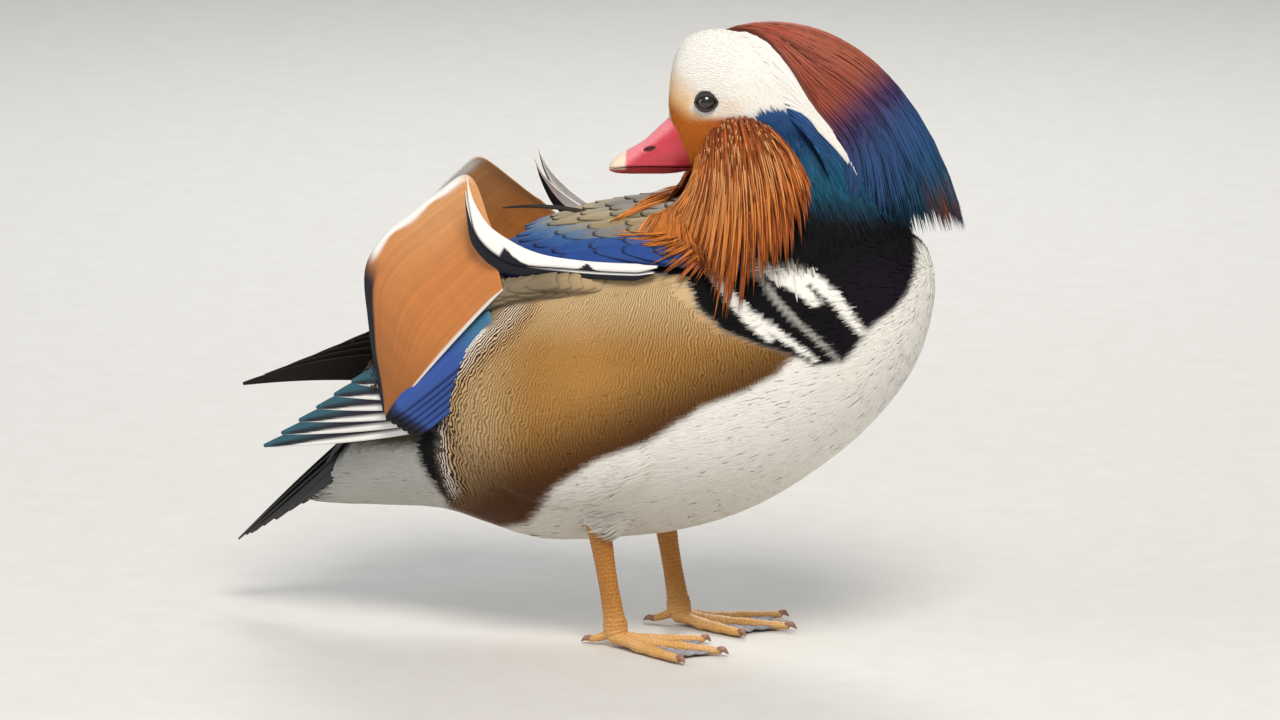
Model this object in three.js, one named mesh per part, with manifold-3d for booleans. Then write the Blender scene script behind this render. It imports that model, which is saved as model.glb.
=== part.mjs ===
// A mandarin drake that stands with its head turned back over its right side.
// Millimetres. +X runs towards the breast, +Y to the bird's left, +Z up, and the floor is z = 0.
import * as THREE from 'three';
import { mergeVertices } from 'three/addons/utils/BufferGeometryUtils.js';
import Module from 'manifold-3d';

const wasm = await Module();
wasm.setup();

// Driving dimensions
const gap = 0.3;
const featherThick = 0.6;
const layerStep = 0.95;
const cleanSize = 0.1;
const rootSink = 4;
const breastX = 136.6;
const ventX = -158;
const neckTurn = 20;
const headCentre = new THREE.Vector3(51.7, -7, 0);
const headTurn = 200;
const eyeForward = 17.6;
const eyeSide = 12.6;
const eyeHeight = 244.5;
const eyeRadius = 5.2;
const lidThick = 1.1;
const billTipForward = 59.5;
const billBaseForward = 28;
const legSpread = 25.7;
const legTopZ = 60;
const ankleTopZ = 12;
const tailTip = new THREE.Vector3(-191.5, 0, 29);
const tailRoot = new THREE.Vector3(-112, 0, 106);
const curlTip = new THREE.Vector3(-65.1, 42.5, 206.4);
const sailTop = new THREE.Vector3(-72, 23, 205);
const sailPoint = new THREE.Vector3(-102, 46, 98);

const deg = THREE.MathUtils.degToRad;
const mix = THREE.MathUtils.lerp;
const vec = (x, y, z) => new THREE.Vector3(x, y, z);
const steps = (count) => Array.from({ length: count }, (_, i) => i);

// Seeded draw, so that each feather differs a little and the same way each time
let seed = 7;
function draw(low, high) {
  seed = (seed * 16807) % 2147483647;
  return mix(low, high, seed / 2147483647);
}

// Solids from rings and sheets

function geometryFrom(points, faces) {
  const geometry = new THREE.BufferGeometry();
  const flat = points.flatMap((p) => [p.x, p.y, p.z]);
  geometry.setAttribute('position', new THREE.Float32BufferAttribute(flat, 3));
  geometry.setIndex(faces.flat());
  return geometry;
}

function signedVolume(points, faces) {
  let sum = 0;
  for (const [a, b, c] of faces) {
    sum += points[a].dot(vec(0, 0, 0).crossVectors(points[b], points[c]));
  }
  return sum / 6;
}

function solidFrom(points, faces) {
  const outward = signedVolume(points, faces) < 0 ? faces.map(([a, b, c]) => [a, c, b]) : faces;
  return solidOf(geometryFrom(points, outward));
}

function solidOf(geometry) {
  const bare = geometry.clone();
  bare.deleteAttribute('normal');
  bare.deleteAttribute('uv');
  const merged = mergeVertices(bare, 1e-4);
  return new wasm.Manifold(new wasm.Mesh({
    numProp: 3,
    vertProperties: merged.attributes.position.array,
    triVerts: new Uint32Array(merged.index.array),
  }));
}

// A closed body through rings of points, with a fan over each end
function ringSolid(rings, startPoint, endPoint) {
  const sides = rings[0].length;
  const points = rings.flat();
  const faces = [];
  for (const i of steps(rings.length - 1)) {
    for (const j of steps(sides)) {
      const a = i * sides + j;
      const b = i * sides + ((j + 1) % sides);
      faces.push([a, b, b + sides], [a, b + sides, a + sides]);
    }
  }
  const middle = (ring) => ring.reduce((sum, p) => sum.add(p), vec(0, 0, 0)).divideScalar(sides);
  const start = points.push(startPoint ?? middle(rings[0])) - 1;
  const end = points.push(endPoint ?? middle(rings.at(-1))) - 1;
  const last = (rings.length - 1) * sides;
  for (const j of steps(sides)) {
    const next = (j + 1) % sides;
    faces.push([start, next, j], [end, last + j, last + next]);
  }
  return solidFrom(points, faces);
}

// A thin closed sheet over a grid of points, split alike on both faces
function sheetSolid(grid, thickAt) {
  const rows = grid.length;
  const columns = grid[0].length;
  const normalAt = (i, j) => {
    const along = grid[Math.min(i + 1, rows - 1)][j].clone().sub(grid[Math.max(i - 1, 0)][j]);
    const across = grid[i][Math.min(j + 1, columns - 1)].clone().sub(grid[i][Math.max(j - 1, 0)]);
    return along.cross(across).normalize();
  };
  const points = [];
  for (const side of [0.5, -0.5]) {
    for (const i of steps(rows)) {
      for (const j of steps(columns)) {
        const offset = side * thickAt(i / (rows - 1), j / (columns - 1));
        points.push(grid[i][j].clone().addScaledVector(normalAt(i, j), offset));
      }
    }
  }
  const back = rows * columns;
  const at = (i, j) => i * columns + j;
  const faces = [];
  for (const i of steps(rows - 1)) {
    for (const j of steps(columns - 1)) {
      const quad = [at(i, j), at(i + 1, j), at(i + 1, j + 1), at(i, j + 1)];
      faces.push([quad[0], quad[1], quad[2]], [quad[0], quad[2], quad[3]]);
      faces.push([quad[0] + back, quad[2] + back, quad[1] + back]);
      faces.push([quad[0] + back, quad[3] + back, quad[2] + back]);
    }
  }
  const rim = [
    ...steps(columns - 1).map((j) => [at(0, j), at(0, j + 1)]),
    ...steps(rows - 1).map((i) => [at(i, columns - 1), at(i + 1, columns - 1)]),
    ...steps(columns - 1).map((j) => [at(rows - 1, columns - 1 - j), at(rows - 1, columns - 2 - j)]),
    ...steps(rows - 1).map((i) => [at(rows - 1 - i, 0), at(rows - 2 - i, 0)]),
  ];
  for (const [a, b] of rim) {
    faces.push([a, b, b + back], [a, b + back, a + back]);
  }
  return solidFrom(points, faces);
}

// The closed surface with the most volume, so that no scrap or sealed hollow stays
function largestShell(solid) {
  const made = solid.getMesh();
  const points = made.vertProperties;
  const parent = Array.from({ length: points.length / 3 }, (_, i) => i);
  const top = (i) => {
    while (parent[i] !== i) {
      parent[i] = parent[parent[i]];
      i = parent[i];
    }
    return i;
  };
  const corners = made.triVerts;
  const triangles = steps(corners.length / 3).map((i) => corners.slice(3 * i, 3 * i + 3));
  for (const [a, b, c] of triangles) {
    parent[top(a)] = top(b);
    parent[top(b)] = top(c);
  }
  const shells = new Map();
  for (const triangle of triangles) {
    const key = top(triangle[0]);
    const corner = (i) => vec(points[3 * i], points[3 * i + 1], points[3 * i + 2]);
    const [a, b, c] = Array.from(triangle, corner);
    const shell = shells.get(key) ?? { volume: 0, triangles: [] };
    shell.volume += a.dot(b.cross(c)) / 6;
    shell.triangles.push(...triangle);
    shells.set(key, shell);
  }
  const larger = (best, shell) => (shell.volume > best.volume ? shell : best);
  const largest = [...shells.values()].reduce(larger);
  const geometry = new THREE.BufferGeometry();
  geometry.setAttribute('position', new THREE.BufferAttribute(points, 3));
  geometry.setIndex(largest.triangles);
  return solidOf(geometry.toNonIndexed());
}

// Joins pieces, cuts others away, and keeps the largest closed body that is left
function fuse(pieces, cutters = []) {
  const joined = wasm.Manifold.union(pieces);
  const cut = cutters.reduce((solid, cutter) => solid.subtract(cutter), joined);
  return largestShell(cut.simplify(cleanSize));
}

function meshOf(name, solid, look) {
  const made = solid.getMesh();
  const geometry = new THREE.BufferGeometry();
  geometry.setAttribute('position', new THREE.BufferAttribute(made.vertProperties, 3));
  geometry.setIndex(new THREE.BufferAttribute(made.triVerts, 1));
  geometry.computeVertexNormals();
  const mesh = new THREE.Mesh(geometry, new THREE.MeshStandardMaterial({ metalness: 0, ...look }));
  mesh.name = name;
  return mesh;
}

// A smooth curve through keyed values, with the slope of its neighbours at each key
function smoothKey(keys, at, name) {
  const last = keys.length - 1;
  const sign = Math.sign(keys[last].at - keys[0].at);
  let i = 0;
  while (i < last - 1 && (at - keys[i + 1].at) * sign > 0) {
    i += 1;
  }
  const span = keys[i + 1].at - keys[i].at;
  const t = THREE.MathUtils.clamp((at - keys[i].at) / span, 0, 1);
  const slope = (k) => {
    const low = keys[Math.max(k - 1, 0)];
    const high = keys[Math.min(k + 1, last)];
    return (high[name] - low[name]) / (high.at - low.at);
  };
  const rise = t * t * (3 - 2 * t);
  const leave = t * (1 - t) * (1 - t) * span * slope(i);
  const arrive = t * t * (t - 1) * span * slope(i + 1);
  return mix(keys[i][name], keys[i + 1][name], rise) + leave + arrive;
}

// A body of superellipse sections along one line: torso, neck and head are each one of these
class Trunk {
  constructor(keys, density, toWorld, toLocal) {
    this.keys = keys;
    this.density = density;
    this.toWorld = toWorld;
    this.toLocal = toLocal;
  }

  section(at) {
    const value = (name) => smoothKey(this.keys, at, name);
    return {
      side: Math.max(value('side'), 0.01),
      rise: Math.max((value('top') - value('bottom')) / 2, 0.01),
      sideMiddle: value('sideMiddle'),
      middle: (value('top') + value('bottom')) / 2,
      power: value('power'),
    };
  }

  point(at, turn, grow) {
    const ends = [this.keys[0].at, this.keys.at(-1).at];
    const half = (ends[1] - ends[0]) / 2;
    const centre = (ends[0] + ends[1]) / 2;
    const part = this.section(at);
    const power = Math.sin(turn) > 0 ? part.power : 2;
    const bend = (value) => Math.sign(value) * Math.abs(value) ** (2 / power);
    const moved = centre + (at - centre) * (1 + grow / Math.abs(half));
    const side = part.sideMiddle + (part.side + grow) * bend(Math.cos(turn));
    const rise = part.middle + (part.rise + grow) * bend(Math.sin(turn));
    return this.toWorld(moved, side, rise);
  }

  solid(grow = 0) {
    const { rings, sides } = this.density;
    const [first, last] = [this.keys[0].at, this.keys.at(-1).at];
    const eased = (i) => (1 - Math.cos((Math.PI * (i + 1)) / (rings + 1))) / 2;
    const places = steps(rings).map((i) => mix(first, last, eased(i)));
    const turns = steps(sides).map((j) => (2 * Math.PI * j) / sides);
    return ringSolid(
      places.map((at) => turns.map((turn) => this.point(at, turn, grow))),
      this.point(first, 0, grow),
      this.point(last, 0, grow),
    );
  }

  // Moves a point that lies within the body out to the given clearance
  clear(world, clearance) {
    const local = this.toLocal(world);
    const inside = (local.at - this.keys[0].at) * (local.at - this.keys.at(-1).at) < 0;
    if (!inside) {
      return world;
    }
    const part = this.section(local.at);
    const side = (local.side - part.sideMiddle) / (part.side + clearance);
    const rise = (local.rise - part.middle) / (part.rise + clearance);
    const power = rise > 0 ? part.power : 2;
    const reach = (Math.abs(side) ** power + Math.abs(rise) ** power) ** (1 / power);
    if (reach >= 1 || reach < 0.05) {
      return world;
    }
    const out = 1 / reach;
    return this.toWorld(
      local.at,
      part.sideMiddle + side * out * (part.side + clearance),
      part.middle + rise * out * (part.rise + clearance),
    );
  }
}

// Torso: sections along X from the breast to the vent
const torsoKeys = [
  { at: breastX, top: 163, bottom: 163, side: 0, sideMiddle: 0, power: 2 },
  { at: 134, top: 178, bottom: 147, side: 13, sideMiddle: 0, power: 2 },
  { at: 126.5, top: 188, bottom: 125.5, side: 25, sideMiddle: 0, power: 2 },
  { at: 110, top: 193, bottom: 102.5, side: 37, sideMiddle: 0, power: 2.1 },
  { at: 87, top: 194, bottom: 81.5, side: 46, sideMiddle: 0, power: 2.3 },
  { at: 55, top: 196, bottom: 60.5, side: 53, sideMiddle: 0, power: 2.6 },
  { at: 23, top: 196, bottom: 48.5, side: 56, sideMiddle: 0, power: 2.7 },
  { at: -9, top: 192, bottom: 42.6, side: 56, sideMiddle: 0, power: 2.7 },
  { at: -41, top: 183, bottom: 39.5, side: 53, sideMiddle: 0, power: 2.6 },
  { at: -64, top: 170, bottom: 43.5, side: 48, sideMiddle: 0, power: 2.4 },
  { at: -90, top: 144, bottom: 49.5, side: 39, sideMiddle: 0, power: 2.2 },
  { at: -119, top: 106, bottom: 49, side: 26, sideMiddle: 0, power: 2 },
  { at: -142, top: 74, bottom: 48, side: 15, sideMiddle: 0, power: 2 },
  { at: ventX, top: 52, bottom: 48, side: 4, sideMiddle: 0, power: 2 },
];
const torso = new Trunk(
  torsoKeys,
  { rings: 18, sides: 22 },
  (at, side, rise) => vec(at, side, rise),
  (p) => ({ at: p.x, side: p.y, rise: p.z }),
);

// Neck: sections along Z, turned towards the head as they rise; top and bottom are its ends in X
const neckAxis = vec(Math.cos(deg(neckTurn)), Math.sin(deg(neckTurn)), 0);
const neckSide = vec(-neckAxis.y, neckAxis.x, 0);
const neckFoot = vec(72, 0, 0);
const neckKeys = [
  { at: 150, top: 48, bottom: -46, side: 42, sideMiddle: 0, power: 2 },
  { at: 178, top: 50, bottom: -44, side: 38, sideMiddle: 0, power: 2 },
  { at: 196, top: 48, bottom: -42, side: 31, sideMiddle: -1, power: 2 },
  { at: 212, top: 38, bottom: -42, side: 24, sideMiddle: -1, power: 2 },
  { at: 230, top: 22, bottom: -42, side: 17, sideMiddle: -1, power: 2 },
  { at: 246, top: 8, bottom: -28, side: 8, sideMiddle: -1, power: 2 },
];
const neck = new Trunk(
  neckKeys,
  { rings: 8, sides: 20 },
  (at, side, rise) => vec(0, 0, at)
    .add(neckFoot)
    .addScaledVector(neckAxis, rise)
    .addScaledVector(neckSide, side),
  (p) => {
    const flat = p.clone().sub(neckFoot).setZ(0);
    return { at: p.z, side: flat.dot(neckSide), rise: flat.dot(neckAxis) };
  },
);

// Head: sections along the line from the bill's base to the back of the skull
const headForward = vec(Math.cos(deg(headTurn)), Math.sin(deg(headTurn)), 0);
const headLeft = vec(-headForward.y, headForward.x, 0);
const headPoint = (forward, left, height) => vec(0, 0, height)
  .add(headCentre)
  .addScaledVector(headForward, forward)
  .addScaledVector(headLeft, left);
const headKeys = [
  { at: 35.2, top: 244, bottom: 240, side: 1, sideMiddle: 0, power: 2 },
  { at: 34.1, top: 255, bottom: 228, side: 6.5, sideMiddle: 0, power: 2 },
  { at: 32, top: 264.5, bottom: 219, side: 10, sideMiddle: 0, power: 2 },
  { at: 27, top: 271.5, bottom: 212, side: 13.5, sideMiddle: 0, power: 2 },
  { at: 17.6, top: 275, bottom: 207, side: 16.2, sideMiddle: 0, power: 2 },
  { at: 5, top: 275, bottom: 204, side: 18, sideMiddle: 0, power: 2 },
  { at: -10, top: 273, bottom: 204, side: 18.5, sideMiddle: 0, power: 2 },
  { at: -25, top: 267, bottom: 207, side: 16, sideMiddle: 0, power: 2 },
  { at: -38, top: 254, bottom: 214, side: 11, sideMiddle: 0, power: 2 },
  { at: -46, top: 236, bottom: 230, side: 2, sideMiddle: 0, power: 2 },
];
const head = new Trunk(
  headKeys,
  { rings: 15, sides: 22 },
  (at, side, rise) => headPoint(at, side, rise),
  (p) => {
    const flat = p.clone().sub(headCentre);
    return { at: flat.dot(headForward), side: flat.dot(headLeft), rise: p.z };
  },
);

const clearOfBody = (point, clearance) => {
  const offTorso = torso.clear(point, clearance);
  const offNeck = neck.clear(offTorso, clearance);
  return torso.clear(offNeck, clearance);
};

// A feather or lock: a tapered strip along a path, wide across and thin through
function strip({ path, across, width, thick = featherThick, rows = 5, columns = 2 }) {
  const grid = steps(rows).map((i) => {
    const t = i / (rows - 1);
    const centre = path(t);
    const along = path(Math.min(t + 0.02, 1)).sub(path(Math.max(t - 0.02, 0))).normalize();
    const wide = across(t).clone();
    wide.addScaledVector(along, -wide.dot(along)).normalize();
    return steps(columns).map((j) => {
      const place = j / (columns - 1) - 0.5;
      return centre.clone().addScaledVector(wide, place * width(t));
    });
  });
  return sheetSolid(grid, (t) => thick * (t > 0.95 ? 0.8 : 1));
}

const vaneWidth = (full) => (t) => full * Math.max(0.1, Math.sin(Math.PI * (0.32 + 0.66 * t)) ** 0.55);
const lockWidth = (full) => (t) => full * Math.max(0.1, Math.sqrt(Math.max(1 - t ** 1.7, 0)));
const bezier = (a, b, c) => {
  const curve = new THREE.QuadraticBezierCurve3(a, b, c);
  return (t) => curve.getPoint(THREE.MathUtils.clamp(t, 0, 1));
};

// An egg shape stretched along three directions
function eggSolid(centre, size, turnY = 0, turnZ = 0, sides = 20) {
  const geometry = new THREE.SphereGeometry(1, sides, Math.round(sides * 0.7));
  geometry.scale(size.x, size.y, size.z);
  geometry.rotateY(deg(turnY));
  geometry.rotateZ(deg(turnZ));
  geometry.translate(centre.x, centre.y, centre.z);
  return solidOf(geometry);
}

const mirrored = (p, side) => vec(p.x, p.y * side, p.z);

// Torso with the flank feathers' two pillows
const flankCentre = vec(-20, 40, 116);
const flankSize = vec(60, 20, 54);
const flankTurn = 8;
function torsoSolid(grow) {
  const size = flankSize.clone().addScalar(grow);
  const flank = (side) => eggSolid(mirrored(flankCentre, side), size, flankTurn, 0, 18);
  return fuse([torso.solid(grow), flank(1), flank(-1)]);
}
const torsoBody = torsoSolid(0);
const torsoCutter = torsoSolid(gap);
const headCutter = head.solid(gap);

// Neck
const neckBody = fuse([neck.solid()], [torsoCutter, headCutter]);
const neckCutter = neck.solid(gap);

// Bill: two halves that meet along the line of the mouth
const billKeys = [
  { at: billTipForward, top: 214.5, bottom: 212, side: 3, sideMiddle: 0, power: 2.4 },
  { at: billTipForward - 2.5, top: 217, bottom: 211, side: 5.2, sideMiddle: 0, power: 2.4 },
  { at: 52, top: 220.5, bottom: 210.5, side: 6.2, sideMiddle: 0, power: 2.4 },
  { at: 44, top: 225.5, bottom: 210.5, side: 6.6, sideMiddle: 0, power: 2.4 },
  { at: 36, top: 233, bottom: 210.5, side: 7.8, sideMiddle: 0, power: 2.4 },
  { at: 30, top: 237.5, bottom: 211, side: 9, sideMiddle: 0, power: 2.4 },
  { at: billBaseForward - 8, top: 236, bottom: 213, side: 8, sideMiddle: 0, power: 2.4 },
];
const bill = new Trunk(billKeys, { rings: 12, sides: 20 }, head.toWorld, head.toLocal);
const mouthZ = 214.2;

function mouthBlock(fromZ, toZ) {
  const geometry = new THREE.BoxGeometry(60, 40, toZ - fromZ);
  geometry.rotateZ(deg(headTurn));
  const centre = headPoint(45, 0, (fromZ + toZ) / 2);
  geometry.translate(centre.x, centre.y, centre.z);
  return solidOf(geometry);
}

function nostril(side) {
  return eggSolid(headPoint(42, side * 6.8, 222.5), vec(2.6, 1.5, 1.1), 18, headTurn, 12);
}

const billBody = bill.solid();
const billUpper = fuse([billBody], [mouthBlock(180, mouthZ + gap / 2), nostril(1), nostril(-1), headCutter]);
const billLower = fuse([billBody], [mouthBlock(mouthZ - gap / 2, 250), headCutter]);

// Eyes, and the head with its lids round them
const eyeCentre = (side) => headPoint(eyeForward, side * eyeSide, eyeHeight);
const eyeBall = (side, grow) => {
  const size = eyeRadius + grow;
  return eggSolid(eyeCentre(side), vec(size, size, size), 0, 0, 12);
};

function lids(side) {
  const [turns, rolls] = [14, 5];
  const points = steps(turns * rolls).map((k) => {
    const turn = (2 * Math.PI * Math.floor(k / rolls)) / turns;
    const roll = (2 * Math.PI * (k % rolls)) / rolls;
    const reach = 5.6 + lidThick * Math.cos(roll);
    const lift = 4.4 + 0.6 * Math.abs(Math.cos(turn)) + lidThick * Math.cos(roll);
    const depth = eyeSide + 3.6 + 0.5 * Math.abs(Math.sin(turn)) + lidThick * Math.sin(roll);
    return headPoint(eyeForward + reach * Math.cos(turn), side * depth, eyeHeight + lift * Math.sin(turn));
  });
  const faces = steps(turns * rolls).flatMap((k) => {
    const [i, j] = [Math.floor(k / rolls), k % rolls];
    const at = (row, column) => (row % turns) * rolls + (column % rolls);
    return [[at(i, j), at(i, j + 1), at(i + 1, j + 1)], [at(i, j), at(i + 1, j + 1), at(i + 1, j)]];
  });
  return solidFrom(points, faces);
}

const headBody = fuse([head.solid(), lids(1), lids(-1)], [eyeBall(1, gap), eyeBall(-1, gap)]);

// Crest: feathers that sweep from the crown over the nape; angle runs from one cheek over the ridge
const crestStart = [[-13, 241], [11, 273.5]];
const crestPull = [[-38, 229], [-62, 290]];
const crestEnd = [[-40, 188], [-95, 191]];
function crestPoint(angle, t, lift) {
  const height = Math.cos((angle * Math.PI) / 2) ** 0.8;
  const [a, b, c] = [crestStart, crestPull, crestEnd].map(([low, high]) => [
    mix(low[0], high[0], height),
    mix(low[1], high[1], height),
  ]);
  const blend = (k) => (1 - t) ** 2 * a[k] + 2 * t * (1 - t) * b[k] + t * t * c[k];
  const wide = mix(15, 21, Math.sin(Math.PI * Math.min(t * 0.75, 1))) + 3 * t * (1 - height);
  const out = vec(0, 0, 0);
  const side = Math.sin((angle * Math.PI) / 2);
  out.copy(headPoint(blend(0), side * (wide + lift), blend(1)));
  return out.addScaledVector(headForward, -lift * height * t).setZ(out.z + lift * height * (1 - t));
}

function crestCore() {
  const angles = steps(15).map((j) => mix(-1, 1, j / 14));
  const rings = steps(8).map((i) => angles.map((angle) => crestPoint(angle, mix(0, 0.6, i / 7), -3)));
  return ringSolid(rings);
}

function crestLock(angle, from, to, wide, lift) {
  const path = (t) => crestPoint(angle, mix(from, to, t), lift - rootSink * (1 - t) ** 6);
  const across = (t) => {
    const at = mix(from, to, t);
    const ahead = crestPoint(Math.min(angle + 0.03, 1), at, lift);
    return ahead.sub(crestPoint(Math.max(angle - 0.03, -1), at, lift));
  };
  return strip({ path, across, width: lockWidth(wide), thick: 1.3, rows: 4 });
}

function crestSolid() {
  const pieces = [crestCore()];
  const tiers = [
    { from: 0.03, to: 0.52, lift: 1.4, count: 7 },
    { from: 0.24, to: 0.78, lift: -0.2, count: 8 },
    { from: 0.42, to: 1, lift: -1.8, count: 7 },
  ];
  for (const { from, to, lift, count } of tiers) {
    for (const j of steps(count)) {
      const angle = mix(-0.93, 0.93, j / (count - 1));
      const bare = 0.2 * Math.sin(Math.PI * Math.abs(angle)) ** 2;
      const start = from + bare * (1 - from) + draw(-0.02, 0.02);
      const reach = to + draw(-0.03, 0.01);
      pieces.push(crestLock(angle, start, Math.max(reach, start + 0.3), 15, lift));
    }
  }
  return fuse(pieces, [torsoCutter, neckCutter, headCutter]);
}

// Ruff: pointed feathers that fan from each cheek over the neck's side and the back
const ruffRoot = [vec(22, 12, 221), vec(12, 20, 247), vec(-7, 17, 236)];
const ruffPull = [vec(26, 21, 193), vec(12, 46, 200), vec(-24, 32, 226)];
const ruffTip = [vec(52, 6, 191), vec(17, 62, 131), vec(-28, 40, 201)];
function ruffPoint(side, r, t, lift) {
  const [a, b, c] = [ruffRoot, ruffPull, ruffTip].map((row) => bezier(...row)(r));
  const p = bezier(a, b, c)(t);
  const placed = headPoint(p.x, side * (p.y + lift * 0.8), p.z + lift * 0.2);
  return clearOfBody(placed, 1.6 + lift);
}

function ruffPad(side) {
  const [rows, columns] = [4, 6];
  const grid = steps(rows).map((i) => steps(columns).map((j) => {
    const across = mix(0.04, 0.96, j / (columns - 1));
    return ruffPoint(side, across, mix(0, 0.5, i / (rows - 1)), 0);
  }));
  return sheetSolid(grid, () => 2.2);
}

function ruffLock(side, r, from, to, wide, lift) {
  const path = (t) => ruffPoint(side, r, mix(from, to, t), lift - rootSink * (1 - t) ** 6);
  const across = (t) => {
    const at = mix(from, to, t);
    const ahead = ruffPoint(side, Math.min(r + 0.03, 1), at, lift);
    return ahead.sub(ruffPoint(side, Math.max(r - 0.03, 0), at, lift));
  };
  const width = (t) => lockWidth(wide)(t) * mix(0.4, 1, mix(from, to, t));
  return strip({ path, across, width, thick: 1.2, rows: 4 });
}

function ruffSolid(side) {
  const pieces = [ruffPad(side)];
  const tiers = [
    { from: 0.02, to: 0.6, lift: 5, wide: 11, count: 6 },
    { from: 0.16, to: 0.82, lift: 3.4, wide: 11, count: 7 },
    { from: 0.3, to: 1, lift: 1.8, wide: 12, count: 9 },
  ];
  for (const { from, to, lift, wide, count } of tiers) {
    for (const j of steps(count)) {
      const reach = Math.min(to + draw(-0.05, 0.01), 1);
      pieces.push(ruffLock(side, mix(0.02, 0.98, j / (count - 1)), from, reach, wide, lift));
    }
  }
  return fuse(pieces, [torsoCutter, neckCutter, headCutter]);
}

// Folded wing: an arm pad with coverts, the blue secondaries and the pointed primaries
const wingCentre = vec(-68, 41, 132);
const wingSize = vec(46, 9, 29);
const wingTurn = -35;
const wingSpread = 7;
function wingPad(side, grow) {
  const size = wingSize.clone().addScalar(grow);
  return eggSolid(mirrored(wingCentre, side), size, wingTurn, side * wingSpread, 18);
}

function wingVane(side, root, bend, tip, wide, rows) {
  const path = bezier(mirrored(root, side), mirrored(bend, side), mirrored(tip, side));
  const out = vec(0.1, side, 0.25).normalize();
  const across = (t) => {
    const along = path(Math.min(t + 0.02, 1)).sub(path(Math.max(t - 0.02, 0)));
    return along.cross(out).normalize();
  };
  return strip({ path, across, width: vaneWidth(wide), rows });
}

function wingSolid(side, primaryTip, topTip, arch) {
  const pieces = [wingPad(side, 0)];
  const primaries = 6;
  for (const i of steps(primaries)) {
    const t = i / (primaries - 1);
    const layer = layerStep * i;
    const root = vec(mix(-82, -78, t), 40 + layer, mix(101, 124, t));
    const tip = primaryTip.clone().lerp(topTip, t).add(vec(0, layer * 0.5, 0));
    const bend = root.clone().lerp(tip, 0.5).add(vec(0, 4, arch));
    pieces.push(wingVane(side, root, bend, tip, 17, 5));
  }
  const secondaries = 3;
  for (const i of steps(secondaries)) {
    const t = i / (secondaries - 1);
    const layer = layerStep * i;
    const root = vec(mix(-62, -64, t), 43 + layer, mix(138, 146, t));
    const tip = vec(mix(-93, -99, t), 42 + layer, mix(103, 109, t));
    const bend = root.clone().lerp(tip, 0.5).add(vec(0, 2, 2));
    pieces.push(wingVane(side, root, bend, tip, 13, 5));
  }
  const coverts = 4;
  for (const i of steps(coverts)) {
    const t = i / (coverts - 1);
    const root = vec(mix(-40, -50, t), 47, mix(155, 162, t));
    const tip = root.clone().add(vec(-20, -1, -17));
    const bend = root.clone().lerp(tip, 0.5).add(vec(0, 3, 2));
    pieces.push(wingVane(side, root, bend, tip, 12, 4));
  }
  return fuse(pieces, [torsoCutter]);
}

// Sail: the broad inner vane that stands up from the wing, its barbs running from shaft to margin
const sailShaftRoot = vec(-44, 53, 161);
const sailMargin = new THREE.CatmullRomCurve3([
  vec(-56, 30, 194),
  sailTop,
  vec(-85, 24, 197),
  vec(-97, 27, 187),
  vec(-108, 30, 177.5),
  vec(-115.5, 34, 163),
  vec(-112.5, 39, 141.5),
  vec(-107, 43, 116),
  sailPoint,
]);
function sailSolid(side, lean) {
  const shaft = bezier(sailShaftRoot, vec(-66, 55, 138), sailPoint);
  const grid = steps(11).map((i) => {
    const s = i / 10;
    const base = shaft(s * 0.985);
    const edge = sailMargin.getPoint(s * 0.97);
    return steps(5).map((j) => {
      const b = j / 4;
      const bulge = 5 * Math.sin(Math.PI * b) * (1 - s * s);
      const p = base.clone().lerp(edge, b).add(vec(0, bulge, 0));
      return mirrored(p.add(vec(-lean * b * (1 - s), 0, 0)), side);
    });
  });
  const quill = strip({
    path: (t) => mirrored(shaft(t * 0.98), side),
    across: () => vec(0.6, 0, 0.8),
    width: (t) => mix(3.4, 1, t),
    thick: 2,
    rows: 7,
  });
  return fuse([sheetSolid(grid, () => 1), quill], [torsoCutter, wingPad(side, gap)]);
}

// Curl: the black and white shoulder feather that lies on the body's slope and ends in an upright point
const curlSlope = 0.45;
const curlLine = new THREE.CatmullRomCurve3([
  vec(25.7, 49.4, 173.8),
  vec(17.3, 49.7, 172.5),
  vec(-13.3, 48, 171.9),
  vec(-38.7, 49.3, 174.5),
  vec(-53.8, 49.6, 183),
  vec(-61.5, 45.5, 194.7),
  curlTip,
]);
const curlWidth = (t) => {
  const swell = 0.55 * Math.exp(-(((t - 0.66) / 0.16) ** 2));
  const taper = 2.5 * Math.max(t - 0.8, 0);
  return Math.max(0.06, 0.45 + swell - taper);
};
function curlSolid(side) {
  const feather = (shift, wide, reach) => strip({
    path: (t) => mirrored(curlLine.getPoint(t * reach).add(vec(shift.x, shift.y, shift.z)), side),
    across: (t) => {
      const along = curlLine.getTangent(Math.min(t * reach, 1));
      return mirrored(vec(-along.z, -curlSlope * along.x, along.x), side);
    },
    width: (t) => wide * curlWidth(t),
    thick: 1.2,
    rows: 13,
  });
  const black = feather(vec(-1, 0, -1.5), 12, 0.97);
  const white = feather(vec(0.8, 0.8, 1.5), 9, 1);
  return fuse([black, white], [torsoCutter, wingPad(side, gap)]);
}

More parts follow.
